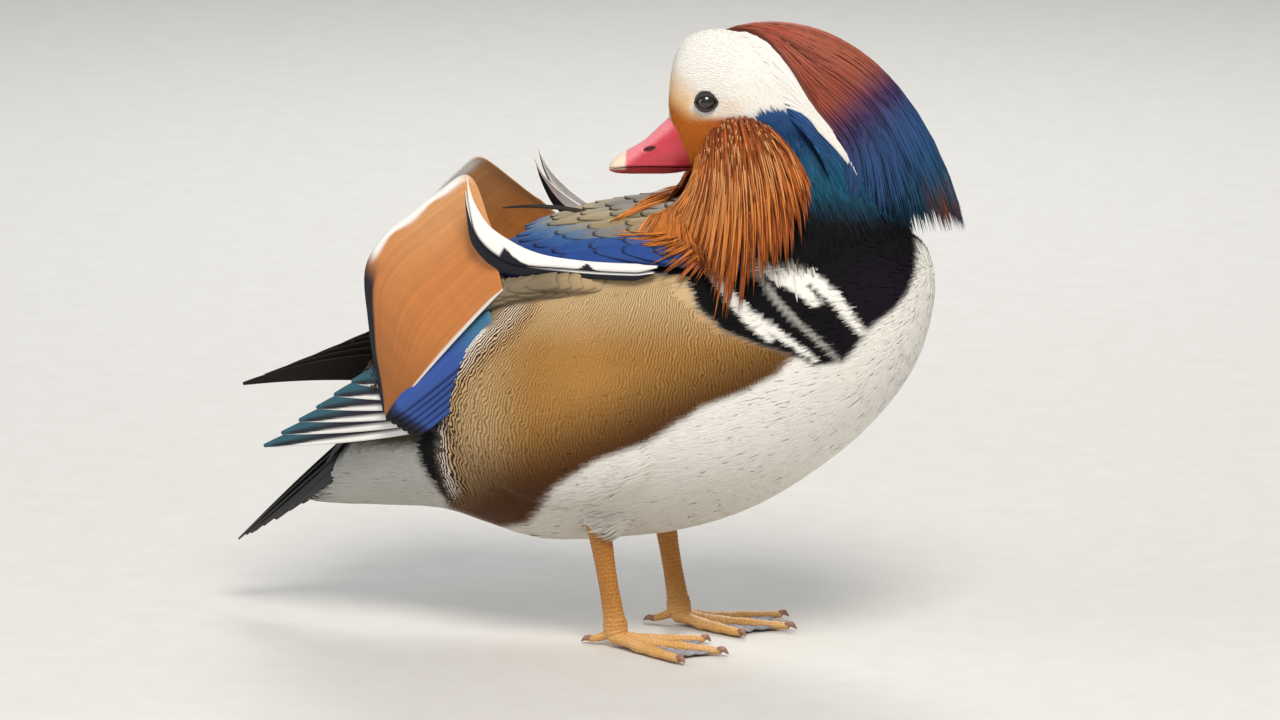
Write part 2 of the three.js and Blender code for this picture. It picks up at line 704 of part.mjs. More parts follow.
// Tail: a roofed fan of pointed feathers under a tier of short coverts
function tailSolid() {
  const base = eggSolid(tailRoot.clone().add(vec(-4, 0, -6)), vec(15, 12, 7), 44, 0, 16);
  const pieces = [base];
  const line = tailTip.clone().sub(tailRoot);
  const feathers = 10;
  for (const i of steps(feathers)) {
    const spread = (i - (feathers - 1) / 2) / ((feathers - 1) / 2);
    const far = Math.abs(spread);
    const layer = -1.1 * far * (feathers / 2);
    const root = tailRoot.clone().add(vec(2, spread * 7, layer * 0.55 - 2));
    const tip = tailRoot.clone().addScaledVector(line, 1 - 0.16 * far * far);
    tip.add(vec(0, spread * 24, -14 * far + (i % 2) * 0.4));
    const bend = root.clone().lerp(tip, 0.5).add(vec(0, spread * 2, 3));
    const path = bezier(root, bend, tip);
    const across = () => vec(0, 1, -0.62 * Math.sign(spread));
    pieces.push(strip({ path, across, width: vaneWidth(13) }));
  }
  for (const i of steps(5)) {
    const spread = (i - 2) / 2;
    const root = tailRoot.clone().add(vec(3, spread * 6, 1.5 - Math.abs(spread) * 3));
    const tip = root.clone().add(vec(-36, spread * 7, -31 - 5 * Math.abs(spread)));
    const bend = root.clone().lerp(tip, 0.5).add(vec(-2, 0, 4));
    const path = bezier(root, bend, tip);
    const across = () => vec(0, 1, -0.4 * spread);
    pieces.push(strip({ path, across, width: vaneWidth(13) }));
  }
  return fuse(pieces, [torsoCutter]);
}

// Legs and webbed feet
function tubeAlong(points, radii, sides = 7, flatten = 1) {
  const rings = points.map((p, i) => {
    const ahead = points[Math.min(i + 1, points.length - 1)].clone();
    const along = ahead.sub(points[Math.max(i - 1, 0)]).normalize();
    const aside = vec(0, 1, 0).cross(along).normalize();
    const up = along.clone().cross(aside).normalize();
    return steps(sides).map((j) => {
      const roll = (2 * Math.PI * j) / sides;
      return p.clone()
        .addScaledVector(aside, radii[i] * Math.cos(roll))
        .addScaledVector(up, radii[i] * flatten * Math.sin(roll));
    });
  });
  return ringSolid(rings);
}

function levelBlock(footX, side, fromZ, toZ) {
  const block = new THREE.BoxGeometry(200, 100, toZ - fromZ);
  block.translate(footX, side * legSpread, (fromZ + toZ) / 2);
  return solidOf(block);
}

function legSolid(side, footX, lean) {
  const low = ankleTopZ - 4;
  const at = (t) => vec(footX - lean * t, side * legSpread, mix(low, legTopZ, t));
  const shank = tubeAlong([0, 0.15, 0.35, 0.62, 0.78, 1].map(at), [5, 4.4, 4.2, 4.8, 5.6, 6], 12, 0.8);
  return fuse([shank], [torsoCutter, levelBlock(footX, side, low - 9, ankleTopZ + gap)]);
}

const toeBase = 4.6;
function toePath(from, turn, length, side) {
  const heading = vec(Math.cos(deg(turn * side)), Math.sin(deg(turn * side)), 0);
  const rows = 7;
  return steps(rows).map((i) => {
    const t = i / (rows - 1);
    const z = mix(toeBase, 2.3, Math.min(t * 3, 1)) - 1.2 * Math.max(t - 0.85, 0) / 0.15;
    return from.clone().addScaledVector(heading, length * t).setZ(z);
  });
}

function footSolid(side, footX) {
  const ankle = vec(footX, side * legSpread, 0);
  const toes = [
    { turn: -26, length: 42 },
    { turn: 4, length: 54 },
    { turn: 33, length: 50 },
  ];
  const pieces = toes.map(({ turn, length }) => tubeAlong(
    toePath(ankle, turn, length, side),
    [4.4, 3.5, 3.1, 2.9, 2.7, 2.1, 0.6],
  ));
  const webs = new THREE.Shape();
  const reach = toes.map(({ turn, length }) => {
    const heading = deg(turn * side);
    return new THREE.Vector2(Math.cos(heading), Math.sin(heading)).multiplyScalar(length * 0.86);
  });
  webs.moveTo(-2, -3 * side);
  webs.lineTo(reach[0].x, reach[0].y);
  const hollow = (a, b) => a.clone().lerp(b, 0.5).multiplyScalar(0.84);
  for (const k of [0, 1]) {
    const pull = hollow(reach[k], reach[k + 1]);
    webs.quadraticCurveTo(pull.x, pull.y, reach[k + 1].x, reach[k + 1].y);
  }
  webs.lineTo(-2, 3 * side);
  const web = new THREE.ExtrudeGeometry(webs, { depth: 1.3, bevelEnabled: false, curveSegments: 5 });
  web.translate(ankle.x, ankle.y, 0);
  const shank = [vec(footX, ankle.y, ankleTopZ), vec(footX, ankle.y, 7), vec(footX + 1, ankle.y, 1)];
  const heel = toePath(vec(footX, ankle.y, 0), 168, 15, side).map((p, i) => p.setZ(6 - 0.9 * i));
  pieces.push(tubeAlong(shank, [5, 5.2, 4.6], 12, 0.85));
  pieces.push(tubeAlong(heel, [3, 2.4, 2, 1.8, 1.6, 1.2, 0.5]));
  pieces.push(solidOf(web));
  return fuse(pieces, [levelBlock(footX, side, -20, 0)]);
}

const nearTips = [vec(-166, 29, 79), vec(-112, 36, 119)];
const farTips = [vec(-184, -9, 102), vec(-132, 14, 123)];
const wings = {
  right: wingSolid(-1, ...nearTips, 3),
  left: wingSolid(1, ...farTips, 13),
};

// Looks of each sub-part
const looks = {
  torso: { color: 0xc9964a, roughness: 0.85 },
  neck: { color: 0x2b1f35, roughness: 0.7 },
  head: { color: 0xf4f1ea, roughness: 0.85 },
  bill: { color: 0xd0404f, roughness: 0.4 },
  eye: { color: 0x1c1410, roughness: 0.08 },
  crest: { color: 0x9c4526, roughness: 0.7 },
  ruff: { color: 0xc2622a, roughness: 0.75 },
  wing: { color: 0x2c2c3c, roughness: 0.6 },
  sail: { color: 0xd9853f, roughness: 0.7 },
  curl: { color: 0xf2f2f0, roughness: 0.7 },
  tail: { color: 0x3e3d3c, roughness: 0.7 },
  leg: { color: 0xc8822a, roughness: 0.5 },
};

const duck = new THREE.Group();
duck.add(
  meshOf('torso', torsoBody, looks.torso),
  meshOf('neck', neckBody, looks.neck),
  meshOf('head', headBody, looks.head),
  meshOf('bill_upper', billUpper, looks.bill),
  meshOf('bill_lower', billLower, looks.bill),
  meshOf('crest', crestSolid(), looks.crest),
  meshOf('tail', tailSolid(), looks.tail),
);
for (const [name, side] of [['left', 1], ['right', -1]]) {
  const footX = side > 0 ? 9 : -2;
  duck.add(
    meshOf(`eye_${name}`, eyeBall(side, 0), looks.eye),
    meshOf(`ruff_${name}`, ruffSolid(side), looks.ruff),
    meshOf(`wing_${name}`, wings[name], looks.wing),
    meshOf(`sail_${name}`, sailSolid(side, side > 0 ? 14 : 0), looks.sail),
    meshOf(`curl_${name}`, curlSolid(side), looks.curl),
    meshOf(`leg_${name}`, legSolid(side, footX, 9), looks.leg),
    meshOf(`foot_${name}`, footSolid(side, footX), looks.leg),
  );
}

// The origin is the middle of the bird's box, on the floor
const box = new THREE.Box3().setFromObject(duck);
const middle = box.getCenter(vec(0, 0, 0));
duck.position.set(-middle.x, -middle.y, -box.min.z);
const part = new THREE.Group();
part.add(duck);

export default part;
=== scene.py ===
import bpy
import numpy as np
from math import cos, sin, pi, radians
from mathutils import Matrix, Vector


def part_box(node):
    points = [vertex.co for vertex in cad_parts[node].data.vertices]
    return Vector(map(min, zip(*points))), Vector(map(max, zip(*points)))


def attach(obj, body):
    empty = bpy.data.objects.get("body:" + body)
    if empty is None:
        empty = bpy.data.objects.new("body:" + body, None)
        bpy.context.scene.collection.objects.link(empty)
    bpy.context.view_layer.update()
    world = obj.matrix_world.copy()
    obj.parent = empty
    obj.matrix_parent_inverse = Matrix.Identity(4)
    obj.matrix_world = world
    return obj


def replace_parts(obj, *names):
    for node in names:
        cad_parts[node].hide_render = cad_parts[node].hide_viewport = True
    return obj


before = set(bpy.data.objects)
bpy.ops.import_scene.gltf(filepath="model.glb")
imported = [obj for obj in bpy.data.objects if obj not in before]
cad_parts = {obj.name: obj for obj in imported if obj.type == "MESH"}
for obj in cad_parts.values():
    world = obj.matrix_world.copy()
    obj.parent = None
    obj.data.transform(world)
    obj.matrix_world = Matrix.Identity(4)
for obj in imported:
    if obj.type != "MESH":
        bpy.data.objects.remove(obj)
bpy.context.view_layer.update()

# A mandarin drake with its head turned back. Sizes are millimetres in the bird's own frame:
# +X towards the breast, +Y its left, +Z up, and the floor at z = 0.
mm = 0.001
pose = {
    "headTurn": radians(200), "headCentre": (51.7, -7.0), "neckTurn": radians(20), "neckFoot": 72.0,
    "eyeForward": 17.6, "eyeSide": 12.6, "eyeHeight": 244.5, "eyeRadius": 5.2,
}
headForward = np.array([cos(pose["headTurn"]), sin(pose["headTurn"]), 0.0])
headLeft = np.array([-headForward[1], headForward[0], 0.0])
neckForward = np.array([cos(pose["neckTurn"]), sin(pose["neckTurn"]), 0.0])
neckLeft = np.array([-neckForward[1], neckForward[0], 0.0])
up = np.array([0.0, 0.0, 1.0])
headMiddle = np.array([*pose["headCentre"], 0.0])
rng = np.random.default_rng(11)


# A point of the head from its distances forward, to its left and above the floor.
def onHead(forward, left, height):
    forward, left, height = (np.asarray(v, float)[..., None] for v in (forward, left, height))
    return headMiddle + forward * headForward + left * headLeft + height * up


# The reverse: distances forward of the head's middle, to its left and above the floor.
def headLocal(points):
    local = points - headMiddle
    return local @ headForward, local @ headLeft, points[..., 2]


eyeBox = [np.array(corner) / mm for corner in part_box("eye_left")]
birdShift = (eyeBox[0] + eyeBox[1]) / 2 - onHead(pose["eyeForward"], pose["eyeSide"], pose["eyeHeight"])

# Camera: the photograph's own direction, 20 degrees to the tail side and 11 above, 0.44 mm to a pixel.
photo = {
    "azimuth": radians(20), "elevation": radians(11), "mmPerPixel": 0.44, "width": 1280,
    "floorPixel": (640, 635), "centrePixel": (640, 360), "distance": 5000.0, "sensor": 36.0,
}


# Right, up and depth of the photograph's picture plane.
def viewAxes():
    ca, sa = cos(photo["azimuth"]), sin(photo["azimuth"])
    ce, se = cos(photo["elevation"]), sin(photo["elevation"])
    return np.array([ca, sa, 0.0]), np.array([-sa * se, ca * se, ce]), np.array([-sa * ce, ca * ce, -se])


viewRight, viewUp, viewDepth = viewAxes()


# Where a point of the bird falls in the 1280 x 720 photograph.
def photoPixel(points):
    across = photo["floorPixel"][0] + points @ viewRight / photo["mmPerPixel"]
    down = photo["floorPixel"][1] - points @ viewUp / photo["mmPerPixel"]
    return across, down


# The point of the picture plane through the bird's origin under a pixel.
def photoMillimetres(across, down):
    right = (np.asarray(across, float) - photo["floorPixel"][0]) * photo["mmPerPixel"]
    rise = (photo["floorPixel"][1] - np.asarray(down, float)) * photo["mmPerPixel"]
    return right[..., None] * viewRight + rise[..., None] * viewUp


# The bird's point that falls on a pixel of the photograph, at a given place along Y.
def fromPixel(across, down, sideways):
    point = photoMillimetres(across, down)
    return point + viewDepth * (sideways - point[1]) / viewDepth[1]


# A frame of axes and a place, as the matrix of an object.
def placed(x, y, z, place):
    axes = np.eye(4)
    axes[:3, 0], axes[:3, 1], axes[:3, 2], axes[:3, 3] = x, y, z, place
    return Matrix(axes.tolist())


# A far camera with a long lens, so that its picture is nearly a parallel one.
def makeCamera():
    camera = bpy.data.objects.new("photoCamera", bpy.data.cameras.new("photoCamera"))
    bpy.context.scene.collection.objects.link(camera)
    target = photoMillimetres(*photo["centrePixel"]) + birdShift
    place = target - viewDepth * photo["distance"]
    camera.matrix_world = placed(viewRight, viewUp, -viewDepth, place * mm)
    camera.data.sensor_width = photo["sensor"]
    camera.data.lens = photo["sensor"] * photo["distance"] / (photo["width"] * photo["mmPerPixel"])
    camera.data.clip_end = 100
    bpy.context.scene.camera = camera


# sRGB hex to linear red, green and blue.
def linear(code):
    value = np.array([int(code[i:i + 2], 16) for i in (1, 3, 5)]) / 255
    return np.where(value <= 0.04045, value / 12.92, ((value + 0.055) / 1.055) ** 2.4)


# Mix of two colours or arrays of them by a share from 0 to 1.
def blend(first, second, amount):
    amount = np.clip(np.asarray(amount, float), 0, 1)[..., None]
    return np.asarray(first) * (1 - amount) + np.asarray(second) * amount


# Smooth step from 0 at low to 1 at high.
def ramp(value, low, high):
    t = np.clip((value - low) / (high - low), 0, 1)
    return t * t * (3 - 2 * t)


# The same directions with length 1.
def unit(vectors):
    return vectors / np.maximum(np.linalg.norm(vectors, axis=-1, keepdims=True), 1e-9)


# Quadratic curve from the first point to the last, drawn towards a third between them.
def arc(first, pull, last, t):
    return first * (1 - t) ** 2 + pull * 2 * t * (1 - t) + last * t ** 2


# Puts whole arrays of points, faces, colours and maps into one mesh, in metres in the part's frame.
def buildMesh(name, points, faceSets, material, colours=None, maps=None, smooth=True, extras=None):
    mesh = bpy.data.meshes.new(name)
    points = (points.reshape(-1, 3) + birdShift) * mm
    corners = np.concatenate([f.reshape(-1) for f in faceSets]).astype(np.int32)
    sizes = np.concatenate([np.full(len(f), f.shape[1]) for f in faceSets])
    starts = np.concatenate([[0], np.cumsum(sizes)[:-1]]).astype(np.int32)
    mesh.vertices.add(len(points))
    mesh.vertices.foreach_set("co", points.astype(np.float32).ravel())
    mesh.loops.add(len(corners))
    mesh.loops.foreach_set("vertex_index", corners)
    mesh.polygons.add(len(sizes))
    mesh.polygons.foreach_set("loop_start", starts)
    mesh.polygons.foreach_set("use_smooth", np.full(len(sizes), smooth))
    mesh.update(calc_edges=True)
    for title, places in (maps or {}).items():
        layer = mesh.uv_layers.new(name=title, do_init=False)
        layer.uv.foreach_set("vector", places.reshape(-1, 2)[corners].astype(np.float32).ravel())
    if colours is not None:
        layer = mesh.attributes.new("tint", "FLOAT_COLOR", "POINT")
        full = np.concatenate([colours.reshape(-1, 3), np.ones((len(points), 1))], axis=1)
        layer.data.foreach_set("color", full.astype(np.float32).ravel())
    for title, values in (extras or {}).items():
        layer = mesh.attributes.new(title, "FLOAT", "POINT")
        layer.data.foreach_set("value", values.astype(np.float32).ravel())
    mesh.validate()
    made = bpy.data.objects.new(name, mesh)
    bpy.context.scene.collection.objects.link(made)
    mesh.materials.append(material)
    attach(made, "root")
    return made


# Quads of a grid of points, joined round its columns where it wraps.
def gridFaces(rows, columns, wrap=False):
    i, j = np.meshgrid(np.arange(rows - 1), np.arange(columns if wrap else columns - 1), indexing="ij")
    here, beside = i * columns + j, i * columns + (j + 1) % columns
    return np.stack([here, beside, beside + columns, here + columns], -1).reshape(-1, 4)


# Unit normals of a grid from the differences of its rows and columns.
def gridNormals(grid):
    return unit(np.cross(np.gradient(grid, axis=-3), np.gradient(grid, axis=-2)))


# Torso, neck, head and bill are trunks: lines of superellipse sections with a rounder lower half.
# Cubic curve through keyed rows, each key taking the slope of its neighbours.
def keyed(rows, at):
    at = np.asarray(at, float)
    last = len(rows) - 1
    i = np.clip(np.searchsorted(rows[:, 0], at, side="right") - 1, 0, last - 1)
    span = (rows[i + 1, 0] - rows[i, 0])[..., None]
    t = np.clip((at[..., None] - rows[i, :1]) / span, 0, 1)
    low = np.maximum(np.arange(last + 1) - 1, 0)
    high = np.minimum(np.arange(last + 1) + 1, last)
    slope = (rows[high] - rows[low]) / (rows[high, :1] - rows[low, :1])
    rise = t * t * (3 - 2 * t)
    bend = t * (1 - t) ** 2 * span * slope[i] + t * t * (t - 1) * span * slope[i + 1]
    return (rows[i] * (1 - rise) + rows[i + 1] * rise + bend)[..., 1:]


# Rows hold place along the line, top, bottom, half width, sideways middle and power.
def trunkFrom(rows, place, local):
    rows = np.array(rows, float)
    return {"rows": rows[np.argsort(rows[:, 0])], "place": place, "local": local}


# Half width, half height, middle and power of the section at a place.
def section(trunk, at):
    top, bottom, side, middle, power = np.moveaxis(keyed(trunk["rows"], at), -1, 0)
    return np.maximum(side, 0.01), np.maximum((top - bottom) / 2, 0.01), middle, (top + bottom) / 2, power


# Point of the section at a place and turn: half widths times cosine and sine, squared off by the power.
def trunkPoint(trunk, at, turn, grow=0.0):
    at, turn = np.broadcast_arrays(np.asarray(at, float), np.asarray(turn, float))
    side, rise, middleSide, middleRise, power = section(trunk, at)
    power = np.where(np.sin(turn) > 0, power, 2)
    c, s = (np.sign(v) * np.abs(v) ** (2 / power) for v in (np.cos(turn), np.sin(turn)))
    ends = trunk["rows"][[0, -1], 0]
    moved = ends.mean() + (at - ends.mean()) * (1 + grow / ((ends[1] - ends[0]) / 2))
    across = middleSide + np.maximum(side + grow, 0.01) * c
    height = middleRise + np.maximum(rise + grow, 0.01) * s
    return trunk["place"](moved, across, height)


# How far out a point lies in its section, 1 on the surface, and its place and turn there.
def trunkReach(trunk, points):
    at, across, height = trunk["local"](points)
    ends = trunk["rows"][[0, -1], 0]
    inside = np.clip(at, ends[0], ends[1])
    side, rise, middleSide, middleRise, power = section(trunk, inside)
    x, z = (across - middleSide) / side, (height - middleRise) / rise
    power = np.where(z > 0, power, 2)
    reach = (np.abs(x) ** power + np.abs(z) ** power) ** (1 / power)
    return reach + np.abs(at - inside) / 10, inside, np.arctan2(z, x)


torso = trunkFrom(
    [
        (136.6, 163, 163, 0, 0, 2), (134, 178, 147, 13, 0, 2), (126.5, 188, 125.5, 25, 0, 2),
        (110, 193, 102.5, 37, 0, 2.1), (87, 194, 81.5, 46, 0, 2.3), (55, 196, 60.5, 53, 0, 2.6),
        (23, 196, 48.5, 56, 0, 2.7), (-9, 192, 42.6, 56, 0, 2.7), (-41, 183, 39.5, 53, 0, 2.6),
        (-64, 170, 43.5, 48, 0, 2.4), (-90, 144, 49.5, 39, 0, 2.2), (-119, 106, 49, 26, 0, 2),
        (-142, 74, 48, 15, 0, 2), (-158, 52, 48, 4, 0, 2),
    ],
    lambda at, side, rise: np.stack(np.broadcast_arrays(at, side, rise), -1),
    lambda p: (p[..., 0], p[..., 1], p[..., 2]),
)
neckFoot = np.array([pose["neckFoot"], 0, 0])
neck = trunkFrom(
    [
        (150, 48, -46, 42, 0, 2), (178, 50, -44, 38, 0, 2), (196, 48, -42, 31, -1, 2),
        (212, 38, -42, 24, -1, 2), (230, 22, -42, 17, -1, 2), (246, 8, -28, 8, -1, 2),
    ],
    lambda at, side, rise: (
        neckFoot + at[..., None] * up + rise[..., None] * neckForward + side[..., None] * neckLeft),
    lambda p: (p[..., 2], (p - neckFoot) @ neckLeft, (p - neckFoot) @ neckForward),
)
head = trunkFrom(
    [
        (35.2, 244, 240, 1, 0, 2), (34.1, 255, 228, 6.5, 0, 2), (32, 264.5, 219, 10, 0, 2),
        (27, 271.5, 212, 13.5, 0, 2), (17.6, 275, 207, 16.2, 0, 2), (5, 275, 204, 18, 0, 2),
        (-10, 273, 204, 18.5, 0, 2), (-25, 267, 207, 16, 0, 2), (-38, 254, 214, 11, 0, 2),
        (-46, 236, 230, 2, 0, 2),
    ],
    onHead, headLocal,
)
sides = {1: "Left", -1: "Right"}


# The same points on the bird's left for side 1 and on its right, the near one, for side -1.
def mirrored(points, side):
    return points * np.array([1.0, side, 1.0])


# Evenly spaced points on a line through the given ones, smoothed by a cubic.
def alongLine(line, count, start=0.0, end=1.0):
    line = np.asarray(line, float)
    length = np.concatenate([[0], np.cumsum(np.linalg.norm(np.diff(line, axis=0), axis=1))])
    rows = np.concatenate([(length / length[-1])[:, None], line], axis=1)
    return keyed(rows, np.linspace(start, end, count))


# Distance in pixels to an open line and the share of the line passed at the nearest point.
def farFrom(across, down, line):
    line = np.asarray(line, float)
    nearest = np.full(across.shape, 1e9)
    passed = np.zeros(across.shape)
    for k, ((ax, ay), (bx, by)) in enumerate(zip(line[:-1], line[1:])):
        dx, dy = bx - ax, by - ay
        t = np.clip(((across - ax) * dx + (down - ay) * dy) / (dx ** 2 + dy ** 2), 0, 1)
        far = np.hypot(across - ax - t * dx, down - ay - t * dy)
        closer = far < nearest
        nearest = np.where(closer, far, nearest)
        passed = np.where(closer, (k + t) / (len(line) - 1), passed)
    return nearest, passed


# Share from 0 to 1 of lying inside a closed outline, soft over a few pixels at its edge: a point is
# inside where a line to its right crosses the outline an odd number of times.
def insideOf(across, down, outline, soft=3.0):
    closed = np.array([*outline, outline[0]], float)
    nearest = farFrom(across, down, closed)[0]
    crossings = np.zeros(across.shape, int)
    for (ax, ay), (bx, by) in zip(closed[:-1], closed[1:]):
        if ay != by:
            meets = (ay > down) != (by > down)
            crossings += meets & (across < ax + (down - ay) / (by - ay) * (bx - ax))
    signed = np.where(crossings % 2 == 1, nearest, -nearest)
    return ramp(signed, -soft, soft)


# Where each colour lies on the body, drawn in the photograph's pixels on the near side and mirrored.
bodyMarks = {
    "flank": [
        (505, 300), (543, 290), (596, 284), (682, 278), (697, 308), (721, 330), (757, 344), (793, 354),
        (775, 374), (740, 392), (704, 405), (650, 440), (596, 460), (556, 486), (530, 522), (500, 528),
        (448, 508), (437, 470), (434, 440), (436, 415), (442, 393), (453, 371), (475, 345), (497, 322),
    ],
    "darkBreast": [
        (640, 150), (900, 150), (912, 228), (913, 252), (911, 274), (903, 294), (890, 310), (868, 327),
        (852, 348), (840, 362), (812, 366), (793, 357), (757, 346), (721, 332), (697, 310), (683, 280),
        (640, 272),
    ],
    "whiteBars": [
        ([(704, 262), (716, 282), (736, 308), (752, 326), (768, 340)], 5.5),
        ([(726, 292), (748, 316), (772, 332), (792, 346), (812, 360)], 4.2),
        ([(752, 262), (772, 274), (796, 288), (812, 304)], 7.5),
        ([(770, 258), (790, 274), (812, 282), (830, 298), (846, 318), (858, 332)], 6.5),
    ],
    "greyBar": ([(742, 262), (760, 282), (776, 304), (800, 328), (818, 344), (834, 360)], 3.2),
    "blue": [
        (488, 222), (505, 212), (540, 208), (596, 214), (625, 224), (640, 236), (700, 246), (700, 274),
        (640, 276), (590, 270), (540, 262), (508, 250),
    ],
    "rearEdge": [
        (518, 306), (505, 322), (475, 347), (453, 371), (442, 393), (437, 421), (437, 454), (448, 489)],
    "rearBlack": [
        (446, 384), (430, 394), (419, 412), (415, 440), (422, 466), (438, 492), (454, 506), (444, 476),
        (438, 450), (438, 422)],
    "rump": [(300, 300), (440, 300), (470, 330), (452, 400), (452, 446), (300, 446)],
    "above": [(300, 100), (684, 100), (684, 284), (596, 288), (543, 296), (490, 330), (300, 330)],
    "backTufts": [
        (300, 100), (690, 100), (690, 282), (596, 284), (543, 290), (505, 300), (478, 340), (445, 390),
        (445, 450), (300, 446)],
}


# Distance in pixels to the flank's rear edge.
def rearDistance(across, down):
    return farFrom(across, down, bodyMarks["rearEdge"])[0]


# The same for the head.
headMarks = {
    "white": [
        (620, 0), (700, 22), (724, 28), (755, 35), (774, 56), (797, 80), (816, 103), (830, 124), (843, 145),
        (860, 160), (852, 158), (838, 148), (845, 162), (855, 177), (865, 191), (853, 182), (842, 168),
        (830, 149), (822, 134), (811, 122), (794, 114), (770, 112), (750, 117), (726, 117), (692, 117),
        (640, 200), (600, 120),
    ],
    "crown": [
        (690, 0), (700, 22), (724, 28), (755, 35), (774, 56), (797, 80), (816, 103), (830, 124), (843, 145),
        (860, 160), (880, 200), (1000, 260), (1000, 0),
    ],
    "cheek": [
        (680, 128), (692, 124), (706, 123), (728, 122), (744, 121), (756, 124), (764, 140), (758, 176),
        (684, 172)],
    "billBorder": [(665, 112), (667, 122), (670, 142), (674, 152), (682, 164)],
    "eye": (705, 107),
}
paint = {name: linear(code) for name, code in {
    "white": "#efece5", "bellyPaintedShade": "#cfcbc0", "vent": "#b4b1a9", "flank": "#aa7c40", "flankPale": "#caac80",
    "flankPaintedShade": "#4e2d12", "black": "#060508", "breast": "#080609", "breastPaintedSheen": "#160f1d",
    "olive": "#95845f", "oliveDark": "#4d4334", "scapular": "#22458a", "scapularTeal": "#3f7396",
    "face": "#edeae2", "buff": "#e8c18c", "lores": "#b9641c", "loresLow": "#a35a18", "cream": "#f0dcba",
    "rust": "#93432c", "rustPale": "#a1543a", "maroon": "#5e2827", "purple": "#3d2b58", "blue": "#2b4c7c",
    "teal": "#17506a", "crestTip": "#c06a35", "ruff": "#b8602e", "ruffPaleAndHighlight": "#dfa468",
    "ruffPaintedShade": "#52210f", "ruffBright": "#db8338", "sail": "#c2783a", "sailDeep": "#8d5424",
    "navy": "#12121c", "speculum": "#34539b", "covert": "#86765a", "sailPale": "#d29c68",
    "primary": "#211f2a", "primaryTeal": "#2c5b66", "bill": "#c63a49", "billPaintedHighlight": "#ec8f97",
    "billDeep": "#9c2530", "nostril": "#3c0c12", "nail": "#efd9bd", "iris": "#2b1a12", "pupil": "#060506",
    "lid": "#2c2422", "leg": "#b3731f", "toe": "#dba45a", "toePale": "#efc592", "web": "#aaa7ad",
    "webDark": "#87848d", "claw": "#9c6f5a", "farPrimary": "#1a1311", "farPatch": "#7d6650",
    "tail": "#2c2c2e", "tailWarm": "#46413c", "barring": "#3f2710",
}.items()}


# Which trunk a point lies on, 0 torso, 1 neck or 2 head, with its place and turn there.
def owners(points):
    found = [trunkReach(trunk, points) for trunk in (torso, neck, head)]
    owner = np.argmin(np.stack([f[0] for f in found]), axis=0)
    at = np.choose(owner, [f[1] for f in found])
    turn = np.choose(owner, [f[2] for f in found])
    return owner, at, turn


# Place of a point on an unwrap of the body: each trunk is a strip of its own, its length by its turn.
def unwrapped(points):
    owner, at, turn = owners(points)
    strips = np.array([[0.01, 0.6], [0.62, 0.16], [0.8, 0.19]])
    ends = np.array([t["rows"][[0, -1], 0] for t in (torso, neck, head)])
    along = (at - ends[owner, 0]) / (ends[owner, 1] - ends[owner, 0])
    return np.stack([strips[owner, 0] + strips[owner, 1] * along, 0.01 + 0.98 * ((turn / (2 * pi)) % 1)], -1)


# The points with those of the far side mirrored onto the near one, about the trunk's own middle.
def nearSide(points, owner):
    flat = points * np.array([1, 0, 1]) - np.abs(points[..., 1:2]) * np.array([0, 1, 0])
    across = (points - neckFoot) @ neckLeft
    turned = points - (np.maximum(across, 0) * 2)[..., None] * neckLeft
    left = headLocal(points)[1]
    faced = points - (left - np.abs(left))[..., None] * headLeft
    return np.where((owner == 0)[..., None], flat, np.where((owner == 1)[..., None], turned, faced))


# Pixels of points on the near side, by the trunk that each lies on, and those of points of the head.
def nearPixel(points):
    owner = owners(points)[0]
    return *photoPixel(nearSide(points, owner)), owner


def headPixel(points):
    return photoPixel(nearSide(points, np.full(points.shape[:-1], 2)))


# Rust along the crown, then purple, blue and teal towards the crest's end, darker beside the white.
def crestColour(across, down):
    passed = ((across - 757) + (down - 27)) / 376
    inner = 1 - ramp(across - down * 0.9, 655, 745)
    colour = blend(paint["rust"], paint["rustPale"], ramp(across - down, 740, 790))
    colour = blend(colour, paint["maroon"], inner * 0.85)
    colour = blend(colour, paint["purple"], ramp(passed, 0.38, 0.53))
    colour = blend(colour, paint["blue"], ramp(passed, 0.5, 0.66))
    colour = blend(colour, paint["teal"], ramp(passed, 0.72, 0.92) * 0.8)
    return blend(colour, paint["crestTip"], 1 - ramp(np.hypot(across - 943, (down - 218) * 1.3), 9, 24))


# White face with buff and orange lores, the crown's rust and the nape's blue and teal.
def headColour(across, down):
    side = blend(paint["blue"], paint["teal"], ramp(down, 140, 195))
    side = blend(side, paint["black"], ramp(down, 195, 232))
    colour = blend(side, crestColour(across, down), insideOf(across, down, headMarks["crown"], 2))
    blush = 0.35 * np.exp(-((across - 728) / 16) ** 2 - ((down - 112) / 9) ** 2)
    face = blend(paint["face"], paint["buff"], ramp(744 - across - (150 - down) * 0.9, -14, 30) + blush)
    face = blend(face, paint["lores"], ramp(742 - across - (150 - down) * 1.25, 2, 30))
    face = blend(face, paint["loresLow"], ramp(down, 122, 165) * ramp(720 - across, 0, 20))
    cheek = blend(paint["lores"], paint["ruff"], ramp(across, 690, 740))
    face = blend(face, cheek, insideOf(across, down, headMarks["cheek"], 4))
    far = farFrom(across, down, headMarks["billBorder"])[0]
    face = blend(face, paint["cream"], (1 - ramp(far, 2, 5)) * 0.9)
    eyeAcross, eyeDown = headMarks["eye"]
    ring = np.hypot((across - eyeAcross) / 11, (down - eyeDown) / 8.3)
    face = blend(face, paint["face"], (1 - ramp(ring, 1.45, 1.65)) * ramp(down - eyeDown, 0, 5))
    underRuff = (across < 754) * (down > 112) * 1.0
    return blend(colour, face, insideOf(across, down, headMarks["white"], 1.6) + underRuff)


